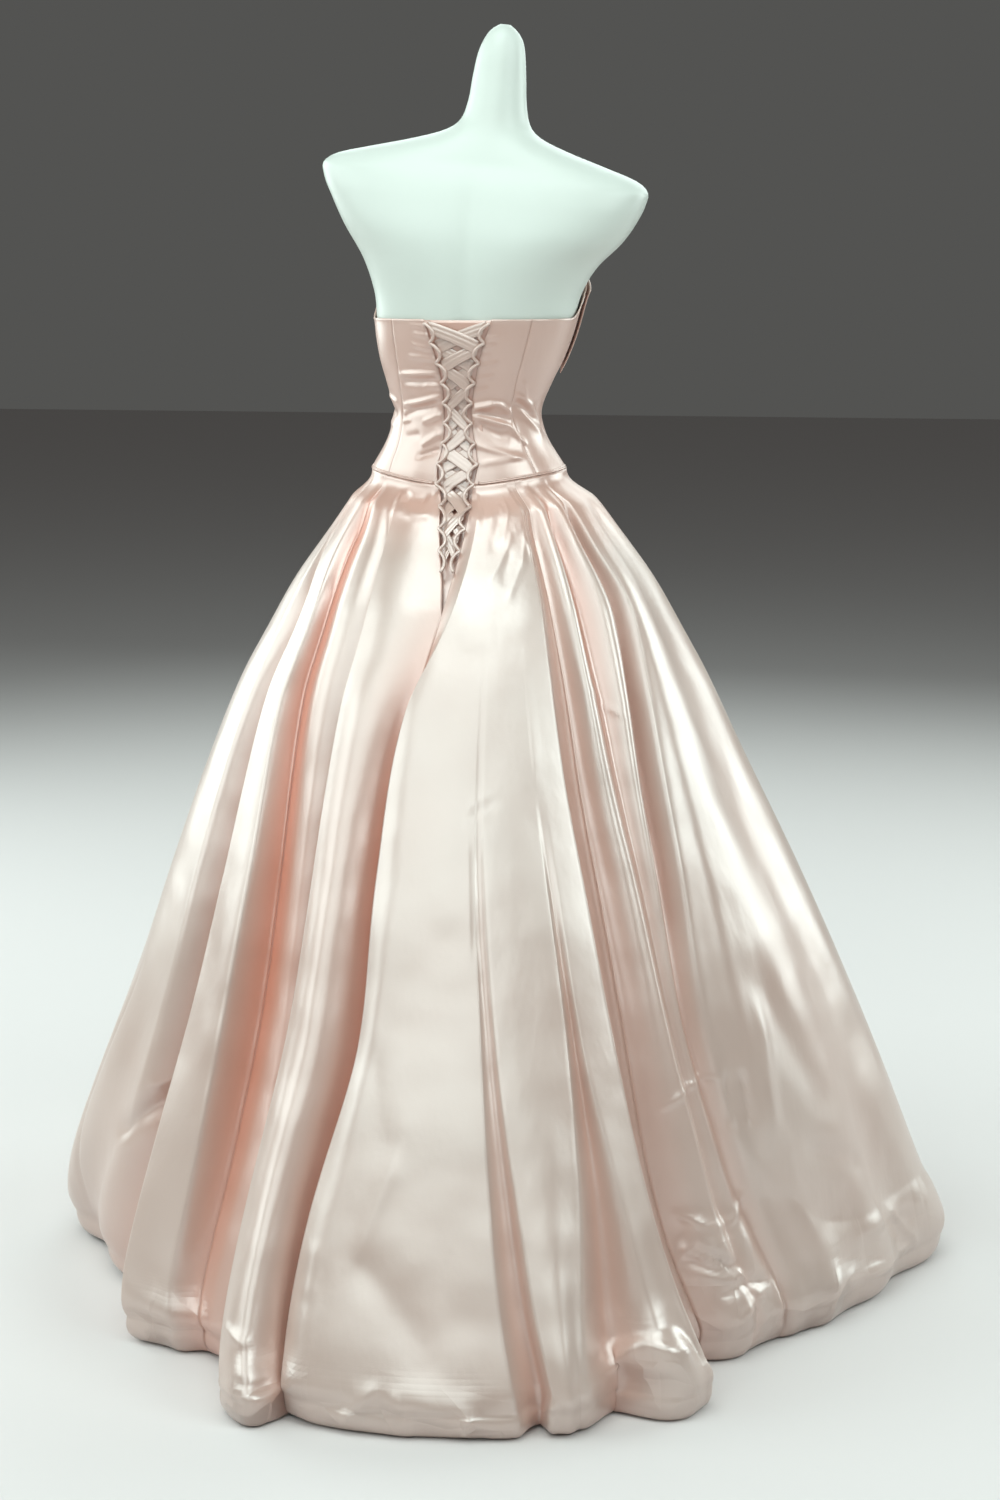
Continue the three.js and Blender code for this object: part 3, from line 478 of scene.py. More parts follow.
# first angle and height, last angle and height, two half widths, depth, power, bow
SKIRT_CREASES = [
    # gathers below the waist, left of the lacing
    (-40, 1108, -26, 1088, 5, 5, 3.5, 1.4, 0), (-26, 1088, -13, 1088, 5, 4, 3.5, 1.4, 3),
    (-34, 1105, -20, 1106, 8, 8, -3.0, 2, 0), (-15, 1112, -9, 1105, 5, 4, 2.6, 2, 0),
    # short pulls at the right edge of the lacing
    (9, 1112, 15, 1108, 3, 3, 1.8, 1.5, 0), (8.5, 1098, 15, 1093, 3, 3, 1.8, 1.5, 0),
    (8.3, 1084, 14, 1078, 3, 3, 1.8, 1.5, 0),
    # thin pulls that fan from the right side-back seam
    (16, 1080, 31, 1104, 3.5, 3, 0.9, 1.2, 0), (34, 1078, 20, 1054, 3.5, 3.5, 1.1, 1.1, 0),
    (30, 1104, 23, 1060, 3, 3.5, 1.0, 1.1, 0), (27, 1062, 16, 1010, 3.5, 4, 1.2, 1.1, 0),
    (33, 1066, 28, 1022, 3, 3, 1.0, 1.1, 0), (30, 1040, 21, 984, 3.5, 3.5, 0.9, 1.2, 0),
    (24, 1092, 17, 1044, 6, 7, -1.0, 1.6, 0), (25, 1046, 20, 1004, 6, 6, -1.0, 1.6, 0),
    (32.5, 1055, 34, 1034, 3, 3, 1.5, 1.5, 0), (41, 873, 49, 830, 4, 3, 1.2, 1.5, 0),
    # dents half way down the middle panel
    (14.5, 752, 8.0, 732, 5, 5, 1.0, 1.3, 3), (12.0, 728, 7.6, 716, 5, 5, 0.9, 1.3, -3),
    (14, 744, 9, 722, 7, 6, -0.9, 2, 0),
    (9.6, 690, 9.2, 560, 7, 9, -1.2, 4, 0),
    # the lobe at the wearer's left
    (-78, 500, -84, 110, 5, 5, -6.0, 1.2, 8), (-70, 430, -79, 100, 6, 6, -6.0, 1.2, 10),
    (-56, 312, -52.8, 337, 6, 6, 3.5, 1.3, 0), (-63, 230, -51, 330, 16, 12, -10.0, 1.6, 6),
    # foot of the fold left of the middle panel
    (-21.4, 114, -17.5, 105, 6, 6, 4.0, 1.3, 0), (-18.4, 58, -15.9, 50, 9, 7, -7.0, 1.5, 0),
    # broad pulls low on the middle panel
    (-2.2, 334, -6.8, 200, 10, 9, 2.6, 1.4, 0), (-7, 450, -3.0, 320, 18, 26, -2.4, 1.8, 8),
    (-12.2, 157, -11.9, 217, 6, 5, 2.4, 1.4, 0), (-7, 210, 2.6, 92, 20, 28, -2.6, 1.8, -8),
    # nicks in the middle panel's hem
    (-8, 18, -3.6, 66, 8, 6, 6.0, 1.3, 0), (-0.4, 13, -2.2, 60, 7, 5, 5.0, 1.3, 0),
    (15.5, 9, 15.2, 52, 6, 5, 6.0, 1.3, 0), (5.5, 12, 6.4, 44, 8, 6, 5.0, 1.3, 0),
    # bunched hem right of the middle panel
    (22, 62, 27, 104, 9, 8, 7.0, 1.3, 5), (27, 104, 32, 84, 9, 9, 6.0, 1.3, 0),
    (24, 52, 31, 50, 16, 16, -9.0, 2, 0),
    # crossing creases low on the right-hand pleats
    (38.9, 343, 50.6, 369, 4, 3, 2.4, 1.2, -6), (54.6, 372, 55.1, 303, 5, 4, -5.0, 1.2, 0),
    (39.5, 206, 49, 178, 8, 8, 4.0, 1.3, 4), (49, 178, 53.2, 212, 7, 6, 3.5, 1.3, 4),
    (41, 152, 48, 122, 16, 10, -9.0, 3, 0), (40.2, 160, 50.4, 97, 6, 5, 6.0, 1.2, -3),
    (45, 150, 48.6, 104, 4, 4, -4.0, 1.2, 0), (44.6, 96, 54, 92, 7, 5, -5.0, 1.4, -6),
    (45.1, 53, 53.7, 88, 6, 5, 5.0, 1.2, 0), (57.1, 90, 58.6, 14, 4, 5, -5.0, 1.2, 0),
    (55.6, 84, 57, 18, 6, 7, 4.0, 1.3, 0), (52.0, 372, 51.6, 303, 5, 4, -4.0, 1.2, 0),
    (52, 303, 59.5, 200, 12, 14, 3.0, 1.5, 5),
    # hem of the right side
    (75.5, 80, 89.5, 76, 24, 24, -5.0, 6, 0),
    (86.6, 107, 91.4, 47, 5, 5, 4.0, 1.2, 0), (75.6, 52, 91, 46, 6, 5, 4.0, 1.2, 0),
    # broad hollows of the right side
    (63, 500, 74, 270, 30, 36, -5.0, 2, 6), (66, 250, 80, 196, 16, 20, -4.0, 2, 0),
    (61, 450, 57.5, 270, 14, 18, 4.0, 2, 0), (80, 620, 88, 300, 34, 40, -4.0, 2, -6),
]
print("skirt creases drawn one by one:", len(SKIRT_CREASES))

# %% [markdown]
# ## Creases round the far side
# The front of the skirt faces away from the photograph, and satin that rests on a floor creases alike
# all round. Drawing each crease there would add nothing that is known, so the low creases of the
# wearer's right are turned round to the front twice, a little closer together, and a row of small
# nicks follows the front hem.

# %% Far creases
COPY_FROM, COPY_TO, COPY_BELOW = 38, 100, 400
COPY_TURNS = (100, 158)
COPY_SQUEEZE, SQUEEZE_ABOUT, COPY_STRETCH = 0.2, 60, 1.08
NICKS, NICK_FIRST, NICK_PITCH = 26, 103, 6.1
NICK_STRAY, STRAY_BEAT = 2.2, 2.3
NICK_LEAN, LEAN_BEAT = 1.8, 1.7
NICK_LOW, NICK_HIGH, NICK_RISE, RISE_BEAT = 10, 52, 18, 3.1
NICK_SHAPE = (7, 5, 5.0, 1.3, 0)


def turned(row, turn):
    a0, z0, a1, z1, *shape = row
    b0, b1 = (a + turn - COPY_SQUEEZE * (a - SQUEEZE_ABOUT) for a in (a0, a1))
    return (b0, z0 * COPY_STRETCH, b1, z1 * COPY_STRETCH, *shape)


low_right = [row for row in SKIRT_CREASES if COPY_FROM < row[0] < COPY_TO and row[1] < COPY_BELOW]
for turn in COPY_TURNS:
    SKIRT_CREASES += [turned(row, turn) for row in low_right]
for k in range(NICKS):
    middle = NICK_FIRST + NICK_PITCH * k + NICK_STRAY * math.sin(STRAY_BEAT * k)
    lean = NICK_LEAN * math.sin(LEAN_BEAT * k)
    high = NICK_HIGH + NICK_RISE * math.sin(RISE_BEAT * k)
    SKIRT_CREASES.append((middle, NICK_LOW, middle + lean, high, *NICK_SHAPE))
print("skirt creases in all:", len(SKIRT_CREASES))

# %% [markdown]
# ## The hem
# The hem is turned under, and where the skirt meets the floor the cloth kicks out and crumples. A
# cloth simulation with a floor could do that, but not in the places that the photograph shows. So
# HEM_TURN draws the rolled edge, and HEM_KICK says at each angle how high the kick starts and how far
# it stands out. A crumple is a sum of sharp-edged waves in several directions, and CRUMPLE_ZONES lists
# where it lies.

# %% Hem tables
# step, height, inset
HEM_TURN = [(0, 88, 0), (1, 44, 0), (2, 17, 4), (3, 6, 18), (4, 20, 46)]
# angle, height where it starts, depth
HEM_KICK = [
    (-180, 110, 9), (-150, 125, 12), (-120, 115, 9), (-98, 100, 4), (-84, 90, 0), (-60, 60, 0),
    (-48, 40, 3), (-42, 34, 6), (-36, 34, 5), (-28, 40, 0), (-21, 55, 8), (-17, 62, 10), (-13.5, 50, 3),
    (-11, 46, 6), (0, 52, 9), (9, 46, 8), (14, 44, 5), (19, 72, 6), (23, 90, 16), (27, 108, 18),
    (31, 116, 17), (34.5, 70, 6), (38, 150, 0), (42, 196, 8), (49, 176, 11), (55, 200, 8), (60, 198, 13),
    (66, 158, 10), (74, 134, 8), (86, 126, 7), (94, 134, 6), (104, 120, 8), (120, 110, 10),
    (150, 130, 12), (180, 110, 9),
]
KICK_RUN = 0.3
# direction, length, share
CRUMPLE_WAVES = [(14, 124, 0.8), (66, 83, 1.0), (121, 98, 0.9), (157, 57, 0.5)]
# angle, height, half width, half height, depth
CRUMPLE_ZONES = [
    (28, 58, 6, 55, 3), (45, 95, 7, 70, 4), (84, 90, 16, 55, 2), (-17, 36, 4, 36, 7),
    (-40, 36, 7, 40, 7), (2, 24, 13, 34, 6), (66, 40, 14, 40, 5), (118, 70, 14, 60, 8),
    (150, 60, 16, 60, 8), (190, 70, 18, 60, 9), (224, 60, 14, 55, 8), (252, 60, 12, 50, 7),
]
CRUMPLE_SHARE, CRUMPLE_FULL, CRUMPLE_SHIFT = 0.2, 7, 0.37
WAVE_SHARP, WAVE_PEAK = 0.96, 1.29
SWAY_ACROSS, SWAY_ACROSS_RUN, SWAY_START = 13, 41, 0.8
SWAY_UP, SWAY_UP_RUN = 11, 57


def hem_kick(angle, z):
    line = read(HEM_KICK, 1, angle)
    return read(HEM_KICK, 2, angle) * (1 - np.exp(-np.maximum(line - z, 0) / (KICK_RUN * line)))


def crumple_waves(angle, z, radius):
    u = angle * DEG * radius
    across = u + SWAY_ACROSS * np.sin(z / SWAY_ACROSS_RUN + SWAY_START)
    up = z + SWAY_UP * np.sin(u / SWAY_UP_RUN)
    folded = 0
    for direction, length, share in CRUMPLE_WAVES:
        way = direction * DEG
        run = (across * math.cos(way) + up * math.sin(way)) / length + CRUMPLE_SHIFT * direction
        folded = folded + share * np.arcsin(WAVE_SHARP * np.sin(2 * math.pi * run)) / WAVE_PEAK
    return folded


def crumple_zone(angle, z):
    zone = np.zeros_like(z)
    for middle, height, wide, tall, deep in CRUMPLE_ZONES:
        turn = from_angle(angle, middle)
        zone = np.maximum(zone, deep * np.exp(-((turn / wide) ** 2) - ((z - height) / tall) ** 2))
    return zone


print("hem: kick up to", max(row[2] for row in HEM_KICK), "mm,", len(CRUMPLE_ZONES), "crumpled places")

# %% [markdown]
# ## The skirt surface
# Between two neighbouring fold lines the cloth is one smooth curve. It leaves each line along the
# ring, and the roundness of the line sets how long it keeps that direction. HANDLE_SHARE keeps the
# curve full where one line lies behind the other, and below HELD_LOW the folds keep their angle, so
# the turned hem does not twist. Spans that face the photograph get close columns, the others wider
# ones, which keeps the mesh small. Just below the waist the gathers sit so close that light bounces
# warm between them, so a flush of coral is added there.

# %% Skirt surface
MAIN_ROWS, HEM_ROWS = 236, 26
WAIST_GAP = 0.2
HELD_LOW = 36.0
# painted shade: a coral flush just below the waist, standing in for light bounced between the gathers
WAIST_SHADE, WAIST_SHADE_FROM, WAIST_SHADE_RUN = 0.3, 1020, 70
HANDLE_SHARE = 0.3
FAR_FROM, FAR_TO, FAR_SPACING = 100, 262, 11.0
FEWEST_STEPS, MOST_STEPS = 6, 60


def fold_line(fold):
    top = waist_height(fold_angle(fold, FOLD_HEIGHTS[0])) - WAIST_GAP
    fall = mix(top, HEM_TURN[0][1], np.linspace(0, 1, MAIN_ROWS))
    turn = np.linspace(0, HEM_TURN[-1][0], HEM_ROWS + 1)[1:]
    heights = np.concatenate([fall, read(HEM_TURN, 1, turn)])
    inset = np.concatenate([np.zeros(MAIN_ROWS), read(HEM_TURN, 2, turn)])
    held = np.maximum(heights, HELD_LOW)
    angle = fold_angle(fold, held)
    radius = skirt_radius(angle, held) * fold_reach(fold, held) - inset
    place = polar(skirt_side(held), angle, radius, heights)
    ahead = polar(0, angle + 1, skirt_radius(angle + 1, held), 0)
    along = ahead - polar(0, angle - 1, skirt_radius(angle - 1, held), 0)
    along = along / np.linalg.norm(along, axis=1, keepdims=True)
    return place, along, fold_shade(fold, held), heights


def span_steps(fold, widest, spacing):
    hem_angle = fold[1][-1]
    if FAR_FROM <= hem_angle <= FAR_TO:
        spacing = FAR_SPACING
    return int(np.clip(widest / spacing, FEWEST_STEPS, MOST_STEPS))


def skirt_points(first, last, spacing):
    names = [fold[0] for fold in FOLDS]
    folds = FOLDS[names.index(first):names.index(last) + 1]
    drawn = [fold_line(fold) for fold in folds]
    waist_shade = WAIST_SHADE * smooth((drawn[-1][3] - WAIST_SHADE_FROM) / WAIST_SHADE_RUN)
    columns, shades = [], []
    for i in range(len(folds) - 1):
        a, along_a, shade_a, _ = drawn[i]
        b, along_b, shade_b, _ = drawn[i + 1]
        mean = along_a + along_b
        mean /= np.linalg.norm(mean, axis=1, keepdims=True)
        step = b - a
        stride = np.linalg.norm(step, axis=1, keepdims=True)
        across = np.abs((step * mean).sum(axis=1, keepdims=True))
        handle = np.maximum(across, HANDLE_SHARE * stride)
        out = a + along_a * folds[i][3] * handle
        back = b - along_b * folds[i + 1][3] * handle
        shares = np.linspace(0, 1, span_steps(folds[i], stride.max(), spacing) + 1)
        is_last = i == len(folds) - 2
        for t in shares if is_last else shares[:-1]:
            s = 1 - t
            columns.append(s ** 3 * a + 3 * s * s * t * out + 3 * s * t * t * back + t ** 3 * b)
            # painted bounce light and shade, eased from line to line, never less than the waist flush
            shades.append(np.maximum(mix(shade_a, shade_b, smooth(t)), waist_shade))
    return np.stack(columns, axis=1), np.stack(shades, axis=1)


print("skirt rows:", MAIN_ROWS + HEM_ROWS, "from waist to turned hem")

# %% [markdown]
# ## The skirt panels
# Five gores are sewn together in the valleys, where a seam hides. The whole skirt could be one ring,
# but then no panel could be cut or measured by itself. The rows follow the dip of the waist seam, fall
# to the floor and roll under at the hem, and creases, crumples and kick then push the cloth along its
# own normal. Each gore's cut is a plain trapezium: its width at the waist and at the hem in metres.

# %% Skirt panels
SKIRT_WALL = 1.6
FLOOR_GAP = 2.0
# piece, first fold line, last fold line, column spacing, width cut at the waist, width cut at the hem
GORES = [
    ("skirt_back_right", "seam_right", "deep_right", 5.6, 0.20, 0.71),
    ("skirt_side_right", "deep_right", "valley_2", 4.8, 0.36, 1.28),
    ("skirt_front", "valley_2", "valley_5", 9.0, 0.28, 1.08),
    ("skirt_side_left", "valley_5", "deep_left", 5.8, 0.36, 1.30),
    ("skirt_back_left", "deep_left", "seam_left", 4.5, 0.13, 0.40),
]


def skirt_panel(name, first, last, spacing):
    points, painted_shade = skirt_points(first, last, spacing)
    z = points[..., 2]
    side = skirt_side(np.maximum(z, HELD_LOW))
    angle = np.degrees(np.arctan2(-(points[..., 0] - side), points[..., 1]))
    radius = np.hypot(points[..., 0] - side, points[..., 1])
    zone = crumple_zone(angle, z)
    crushed = CRUMPLE_SHARE * zone * crumple_waves(angle, z, radius)
    lift = crease_field(angle, z, radius, SKIRT_CREASES) + crushed + hem_kick(angle, z)
    points = points + grid_normals(points) * lift[..., None]
    points[..., 2] = np.maximum(points[..., 2], FLOOR_GAP)
    # the coral mark carries the painted bounce light and shade into the satin
    marks = {"painted_shade": painted_shade, "crumple": zone / CRUMPLE_FULL}
    piece = make_sheet(name + "_cloth", points, SKIRT_WALL, marks)
    hand_over(piece, name)
    return piece


skirt = []
for name, first, last, spacing, waist_cut, hem_cut in GORES:
    piece = skirt_panel(name, first, last, spacing)
    skirt.append(piece)

# %% [markdown]
# ## The bodice panels
# The bodice is boned and fits close. Every panel lies between two seam lines and follows the figure,
# a layer of cloth further out. A shrinkwrap could lay flat panels on the form, but it would lose the
# seam lines. Near the lacing the cloth is pulled into short puckers, and the edges sink a little where
# they are sewn.

# %% Bodice creases
# first angle and height, last angle and height, two half widths, depth, power, bow
BODICE_CREASES = [
    # pulls left of the lacing
    (-51, 1270, -18, 1272, 3.5, 4.5, 2.4, 1.6, 0), (-50, 1262, -20, 1263, 5, 6, -1.8, 2, 0),
    (-51, 1229, -16, 1241, 3.5, 5, 2.6, 1.6, 2), (-49, 1220, -18, 1231, 5, 7, -2.0, 2, 0),
    (-53, 1218, -42, 1223, 2.5, 2, 1.2, 1.5, 0), (-54, 1206, -44, 1209, 2.5, 2, 1.2, 1.5, 0),
    (-31, 1207, -15, 1217, 3, 4, 1.8, 1.6, 0), (-30, 1176, -14, 1193, 4, 5, 2.0, 1.6, 0),
    (-32, 1160, -14, 1170, 4, 5, -1.6, 2, 0), (-48, 1184, -34, 1190, 6, 5, -1.0, 2, 0),
    # fine puckers left of the lacing
    (-40, 1338, -24, 1334, 3, 4, 0.8, 1.5, 0), (-37, 1326, -22, 1322, 2.5, 3.5, 1.0, 1.5, 0),
    (-38, 1312, -20, 1306, 2.5, 4, 0.9, 1.5, 2), (-42, 1296, -18, 1291, 3, 4.5, 1.1, 1.5, 0),
    (-30, 1283, -18, 1281, 2.5, 3, 0.7, 1.5, 0), (-30, 1257, -16, 1254, 2.5, 4, 1.0, 1.5, 0),
    # fine puckers right of the lacing
    (16, 1319, 29, 1323, 3.5, 2.5, 0.7, 1.5, 0), (15, 1306, 27, 1310, 3.5, 2.5, 0.9, 1.5, 0),
    (14, 1295, 25, 1297, 3, 2.5, 0.7, 1.5, 0), (14, 1283, 31, 1288, 4, 2.5, 1.0, 1.5, 2),
    (14, 1265, 30, 1269, 4, 2.5, 1.0, 1.5, 0), (14, 1247, 27, 1253, 4, 2.5, 0.9, 1.5, 0),
    # pulls right of the lacing
    (14, 1224, 35, 1232, 5, 4, 3.2, 1.6, 0), (35, 1232, 49, 1217, 4, 3.5, 2.6, 1.6, -2),
    (16, 1221, 46, 1212, 5, 6, -2.6, 2, 0), (14, 1217, 47, 1202, 5, 4, 2.8, 1.6, 0),
    (47, 1202, 58, 1177, 4, 4, 2.0, 1.6, 0), (20, 1204, 44, 1186, 8, 9, -2.4, 2, 0),
    (14, 1180, 53, 1158, 5, 5, 1.8, 1.7, 0), (16, 1152, 50, 1161, 5, 4, 1.2, 1.7, 0),
    # right side panel
    (50, 1244, 70, 1225, 4, 4, 2.4, 1.6, 0), (70, 1225, 87, 1200, 4, 5, 2.0, 1.6, 0),
    (52, 1234, 72, 1212, 5, 5, -2.2, 2, 0), (56, 1226, 80, 1188, 4, 6, 1.6, 1.7, 0),
    (53, 1262, 60, 1238, 3, 3, 1.4, 1.6, 0), (74, 1231, 93, 1189, 5, 6, -1.6, 2, 0),
    # left side panel
    (-78, 1240, -60, 1230, 5, 4, 1.6, 1.7, 0), (-92, 1228, -64, 1214, 6, 5, -1.6, 2, 0),
    (-86, 1205, -62, 1200, 6, 5, 1.2, 1.8, 0),
    # front
    (120, 1226, 168, 1234, 8, 7, 1.8, 1.8, 0), (128, 1208, 176, 1214, 8, 9, -1.8, 2, 0),
    (192, 1236, 240, 1224, 7, 8, 1.8, 1.8, 0), (186, 1216, 236, 1206, 9, 8, -1.8, 2, 0),
    (150, 1192, 205, 1188, 8, 8, 1.4, 1.8, 0),
]
print("bodice creases:", len(BODICE_CREASES))

# %% Bodice surface
BODICE_ROWS, BODICE_WALL = 96, 1.8
CREASE_GAIN = 1.5
SEAM_SINK, SEAM_WIDE = 0.9, 2.2
TOP_ROLL, TOP_ROLL_WIDE = 0.7, 2.6
EDGE_PASSES = 3


def bodice_points(start, stop, cols, rows=BODICE_ROWS):
    share = np.linspace(0, 1, cols)[None, :]
    down = np.linspace(0, 1, rows)[:, None]
    top = np.full((1, cols), float(TOP_BACK))
    low = np.full((1, cols), float(WAIST_SIDE))
    for _ in range(EDGE_PASSES):
        top = top_height(mix(start(top), stop(top), share))
        low = waist_height(mix(start(low), stop(low), share))
    z = mix(top, low + WAIST_GAP, down)
    angle = mix(start(z), stop(z), share)
    radius = bodice_radius(angle, z)
    edge = np.minimum(share, 1 - share) * (stop(z) - start(z)) * DEG * radius
    lift = CREASE_GAIN * crease_field(angle, z, radius, BODICE_CREASES)
    lift = lift - SEAM_SINK * np.exp(-((edge / SEAM_WIDE) ** 2))
    lift = lift + TOP_ROLL * np.exp(-(((top - z) / TOP_ROLL_WIDE) ** 2))
    return polar(form_side(z), angle, radius + BODICE_FACE + lift, z)


def drawn_seam(rows, column):
    def seam(z):
        return read(rows, column, z)
    return seam


def plumb_seam(angle):
    def seam(z):
        return angle + 0 * z
    return seam


print("bodice rows:", BODICE_ROWS, "from top edge to waist seam")

# %% Bodice panels
opening_left, opening_right = drawn_seam(OPENING, 1), drawn_seam(OPENING, 2)
princess_left, princess_right = drawn_seam(PRINCESS, 1), drawn_seam(PRINCESS, 2)
side_left, side_right = plumb_seam(-SIDE_SEAM), plumb_seam(SIDE_SEAM)
side_left_round = plumb_seam(360 - SIDE_SEAM)
# piece, first seam, last seam, columns, width and length cut, area cut
BODICE_CUTS = [
    ("bodice_back_right", opening_right, princess_right, 48, (0.075, 0.22), 0.0146),
    ("bodice_side_right", princess_right, side_right, 60, (0.13, 0.235), 0.0256),
    ("bodice_front", side_right, side_left_round, 150, (0.36, 0.29), 0.0883),
    ("bodice_side_left", side_left, princess_left, 60, (0.12, 0.235), 0.0234),
    ("bodice_back_left", princess_left, opening_left, 60, (0.08, 0.22), 0.0155),
]
bodice = []
for name, start, stop, cols, cut, cut_area in BODICE_CUTS:
    piece = make_sheet(name + "_cloth", bodice_points(start, stop, cols), BODICE_WALL)
    hand_over(piece, name)
    bodice.append(piece)
    print(piece.name, "cut", cut_area, "m2, cloth", round(sheet_area(piece), 4), "m2")

# %% [markdown]
# ## Bust band
# A stiff band lies over the bust, and its ends stand off the side seams. Offsetting the bodice mesh
# would copy its creases too, and the band is smooth, so it is a fresh sheet on the same figure, moved
# out by a layer of cloth and a little more toward its ends.

# %% Bust band
BAND_DEPTH, BAND_RISE, BAND_LIFT, BAND_WALL = 112, 2, 2.4, 1.6
BAND_FLARE, BAND_FLARE_POWER = 4.0, 6
BAND_GAP = 1


def band_points(cols=140, rows=40):
    share = np.linspace(0, 1, cols)[None, :]
    down = np.linspace(0, 1, rows)[:, None]
    angle = mix(SIDE_SEAM + BAND_GAP, 360 - BAND_GAP - SIDE_SEAM, share) + 0 * down
    z = top_height(angle) + BAND_RISE - BAND_DEPTH * down
    flare = BAND_FLARE * np.abs(2 * share - 1) ** BAND_FLARE_POWER
    return polar(form_side(z), angle, bodice_radius(angle, z) + BODICE_FACE + BAND_LIFT + flare, z)


band = make_sheet("bust_band_cloth", band_points(), BAND_WALL)
hand_over(band, "bust_band")
print("band", round(sheet_area(band), 4), "m2")

# %% [markdown]
# ## Waist welt
# A narrow welt of two cords covers the waist seam. Two thin tubes would do, but the real welt is one
# folded strip, so it is one sheet whose section rises in two beads.

# %% Waist welt
WELT_HEIGHT, WELT_LOW, WELT_END = 4.6, 0.6, 17
WELT_LIFT, WELT_BEAD, WELT_WALL = 0.2, 0.6, 0.5


def welt_points(cols=240, rows=13):
    share = np.linspace(0, 1, cols)[None, :]
    down = np.linspace(0, 1, rows)[:, None]
    angle = mix(WELT_END, 360 - WELT_END, share) + 0 * down
    z = waist_height(angle) + mix(WELT_HEIGHT, WELT_LOW, down)
    bead = np.abs(np.sin(down * 2 * math.pi)) ** WELT_BEAD
    return polar(form_side(z), angle, bodice_radius(angle, z) + BODICE_FACE + WELT_LIFT + bead, z)


welt = make_sheet("waist_welt_cloth", welt_points(), WELT_WALL)
hand_over(welt, "waist_welt")
print("welt", round(sheet_area(welt), 4), "m2")

# %% [markdown]
# ## Modesty panel
# Behind the lacing a loose panel of the same satin covers the form. A flat patch would cut through the
# back, so it follows the opening: `opening_point` gives any place between its two edges, so many
# millimetres off the cloth, on the bodice above the waist and on the skirt below it.

# %% Modesty panel
MODESTY_TOP_GAP, MODESTY_TAIL, MODESTY_LAP, MODESTY_WALL = 1.0, 12.0, 14, 1.0
MODESTY_BEHIND = 2.2
BEHIND_AT_WAIST = (3.3, 1168, 40)
BEHIND_IN_SKIRT = (6.5, 1122, 30)


def opening_point(share, z, off, inset):
    across = mix(read(OPENING, 1, z), read(OPENING, 2, z), share)
    above = z >= waist_height(across)
    reach = fold_reach(FOLDS[0], z)

    def face(angle):
        return np.where(above, bodice_radius(angle, z) + BODICE_FACE, skirt_radius(angle, z) * reach)

    angle = across + inset / (face(across) * DEG)
    side = np.where(above, form_side(z), skirt_side(z))
    return polar(side, angle, face(angle) + off, z)


def modesty_points(cols=30, rows=90):
    share = np.linspace(0, 1, cols)[None, :]
    down = np.linspace(0, 1, rows)[:, None]
    z = mix(TOP_BACK - MODESTY_TOP_GAP, OPENING_END - MODESTY_TAIL, down) + 0 * share
    behind = MODESTY_BEHIND + eased_below(z, *BEHIND_AT_WAIST) + eased_below(z, *BEHIND_IN_SKIRT)
    return opening_point(share + 0 * z, z, -behind, mix(-MODESTY_LAP, MODESTY_LAP, share))


modesty = make_sheet("modesty_panel_cloth", modesty_points(), MODESTY_WALL)
hand_over(modesty, "modesty_panel")
print("modesty panel", round(sheet_area(modesty), 4), "m2")

# %% [markdown]
# ## Rouleau loops
# A rouleau is a thin stuffed tube of satin. One runs down each edge of the opening and bows out into a
# row of loops. A bevelled curve would also make a tube, but rolling a grid round the route keeps the
# mesh as even as the cloth's. The grid's two long edges are then merged and its ends filled.

# %% Tube maker
SAME_PLACE = 0.00002


def close_seam(piece, sides):
    deselect()
    piece.select_set(True)
    bpy.context.view_layer.objects.active = piece
    bpy.ops.object.mode_set(mode="EDIT")
    bpy.ops.mesh.select_all(action="SELECT")
    bpy.ops.mesh.remove_doubles(threshold=SAME_PLACE)
    bpy.ops.mesh.select_all(action="DESELECT")
    bpy.ops.mesh.select_non_manifold()
    bpy.ops.mesh.fill_holes(sides=sides)
    bpy.ops.mesh.select_all(action="SELECT")
    bpy.ops.mesh.normals_make_consistent(inside=False)
    bpy.ops.object.mode_set(mode="OBJECT")


def unit(rows):
    return rows / np.linalg.norm(rows, axis=1, keepdims=True)


def make_tube(name, path, radius, sides):
    piece, row, col = new_grid(name, len(path), sides + 1)
    ahead = unit(np.gradient(path, axis=0))
    outward = path - np.stack([form_side(path[:, 2]), 0 * path[:, 0], path[:, 2]], axis=1)
    across = unit(np.cross(ahead, outward))
    up = np.cross(across, ahead)
    turn = col * 2 * math.pi / sides
    ring = across[row] * np.cos(turn)[:, None] + up[row] * np.sin(turn)[:, None]
    put(piece, path[row] + ring * radius)
    close_seam(piece, sides)
    bpy.ops.object.shade_smooth()
    return piece


print("edges closer than", SAME_PLACE / MM, "mm are merged")

# %% Loops
LOOP_COUNT, LOOP_TOP, LOOP_PITCH, LOOP_LEAD, LOOP_STEPS = 12, 1331, 27, 10, 18
LOOP_REACH, LOOP_SHARE, LOOP_ROOT, LOOP_ROUND = 10.0, 0.3, -1.6, 0.7
CORD_RADIUS, CORD_SIDES, CORD_LIFT, CORD_TIP_LIFT = 2.3, 10, 2.4, 4.2
CORD_SKIRT_EASE = (5.0, 1146, 30)


def loop_path(share, inward):
    step = np.arange(LOOP_COUNT * LOOP_STEPS) + 0.5
    z = LOOP_TOP + LOOP_LEAD - step * LOOP_PITCH / LOOP_STEPS
    bow = np.abs(np.sin(step / LOOP_STEPS * math.pi)) ** LOOP_ROUND
    lift = mix(CORD_LIFT, CORD_TIP_LIFT, bow) + eased_below(z, *CORD_SKIRT_EASE)
    width = (read(OPENING, 2, z) - read(OPENING, 1, z)) * DEG * skirt_radius(0 * z, z)
    reach = np.minimum(LOOP_REACH, LOOP_SHARE * width)
    return opening_point(share + 0 * z, z, lift, inward * mix(LOOP_ROOT, reach, bow))


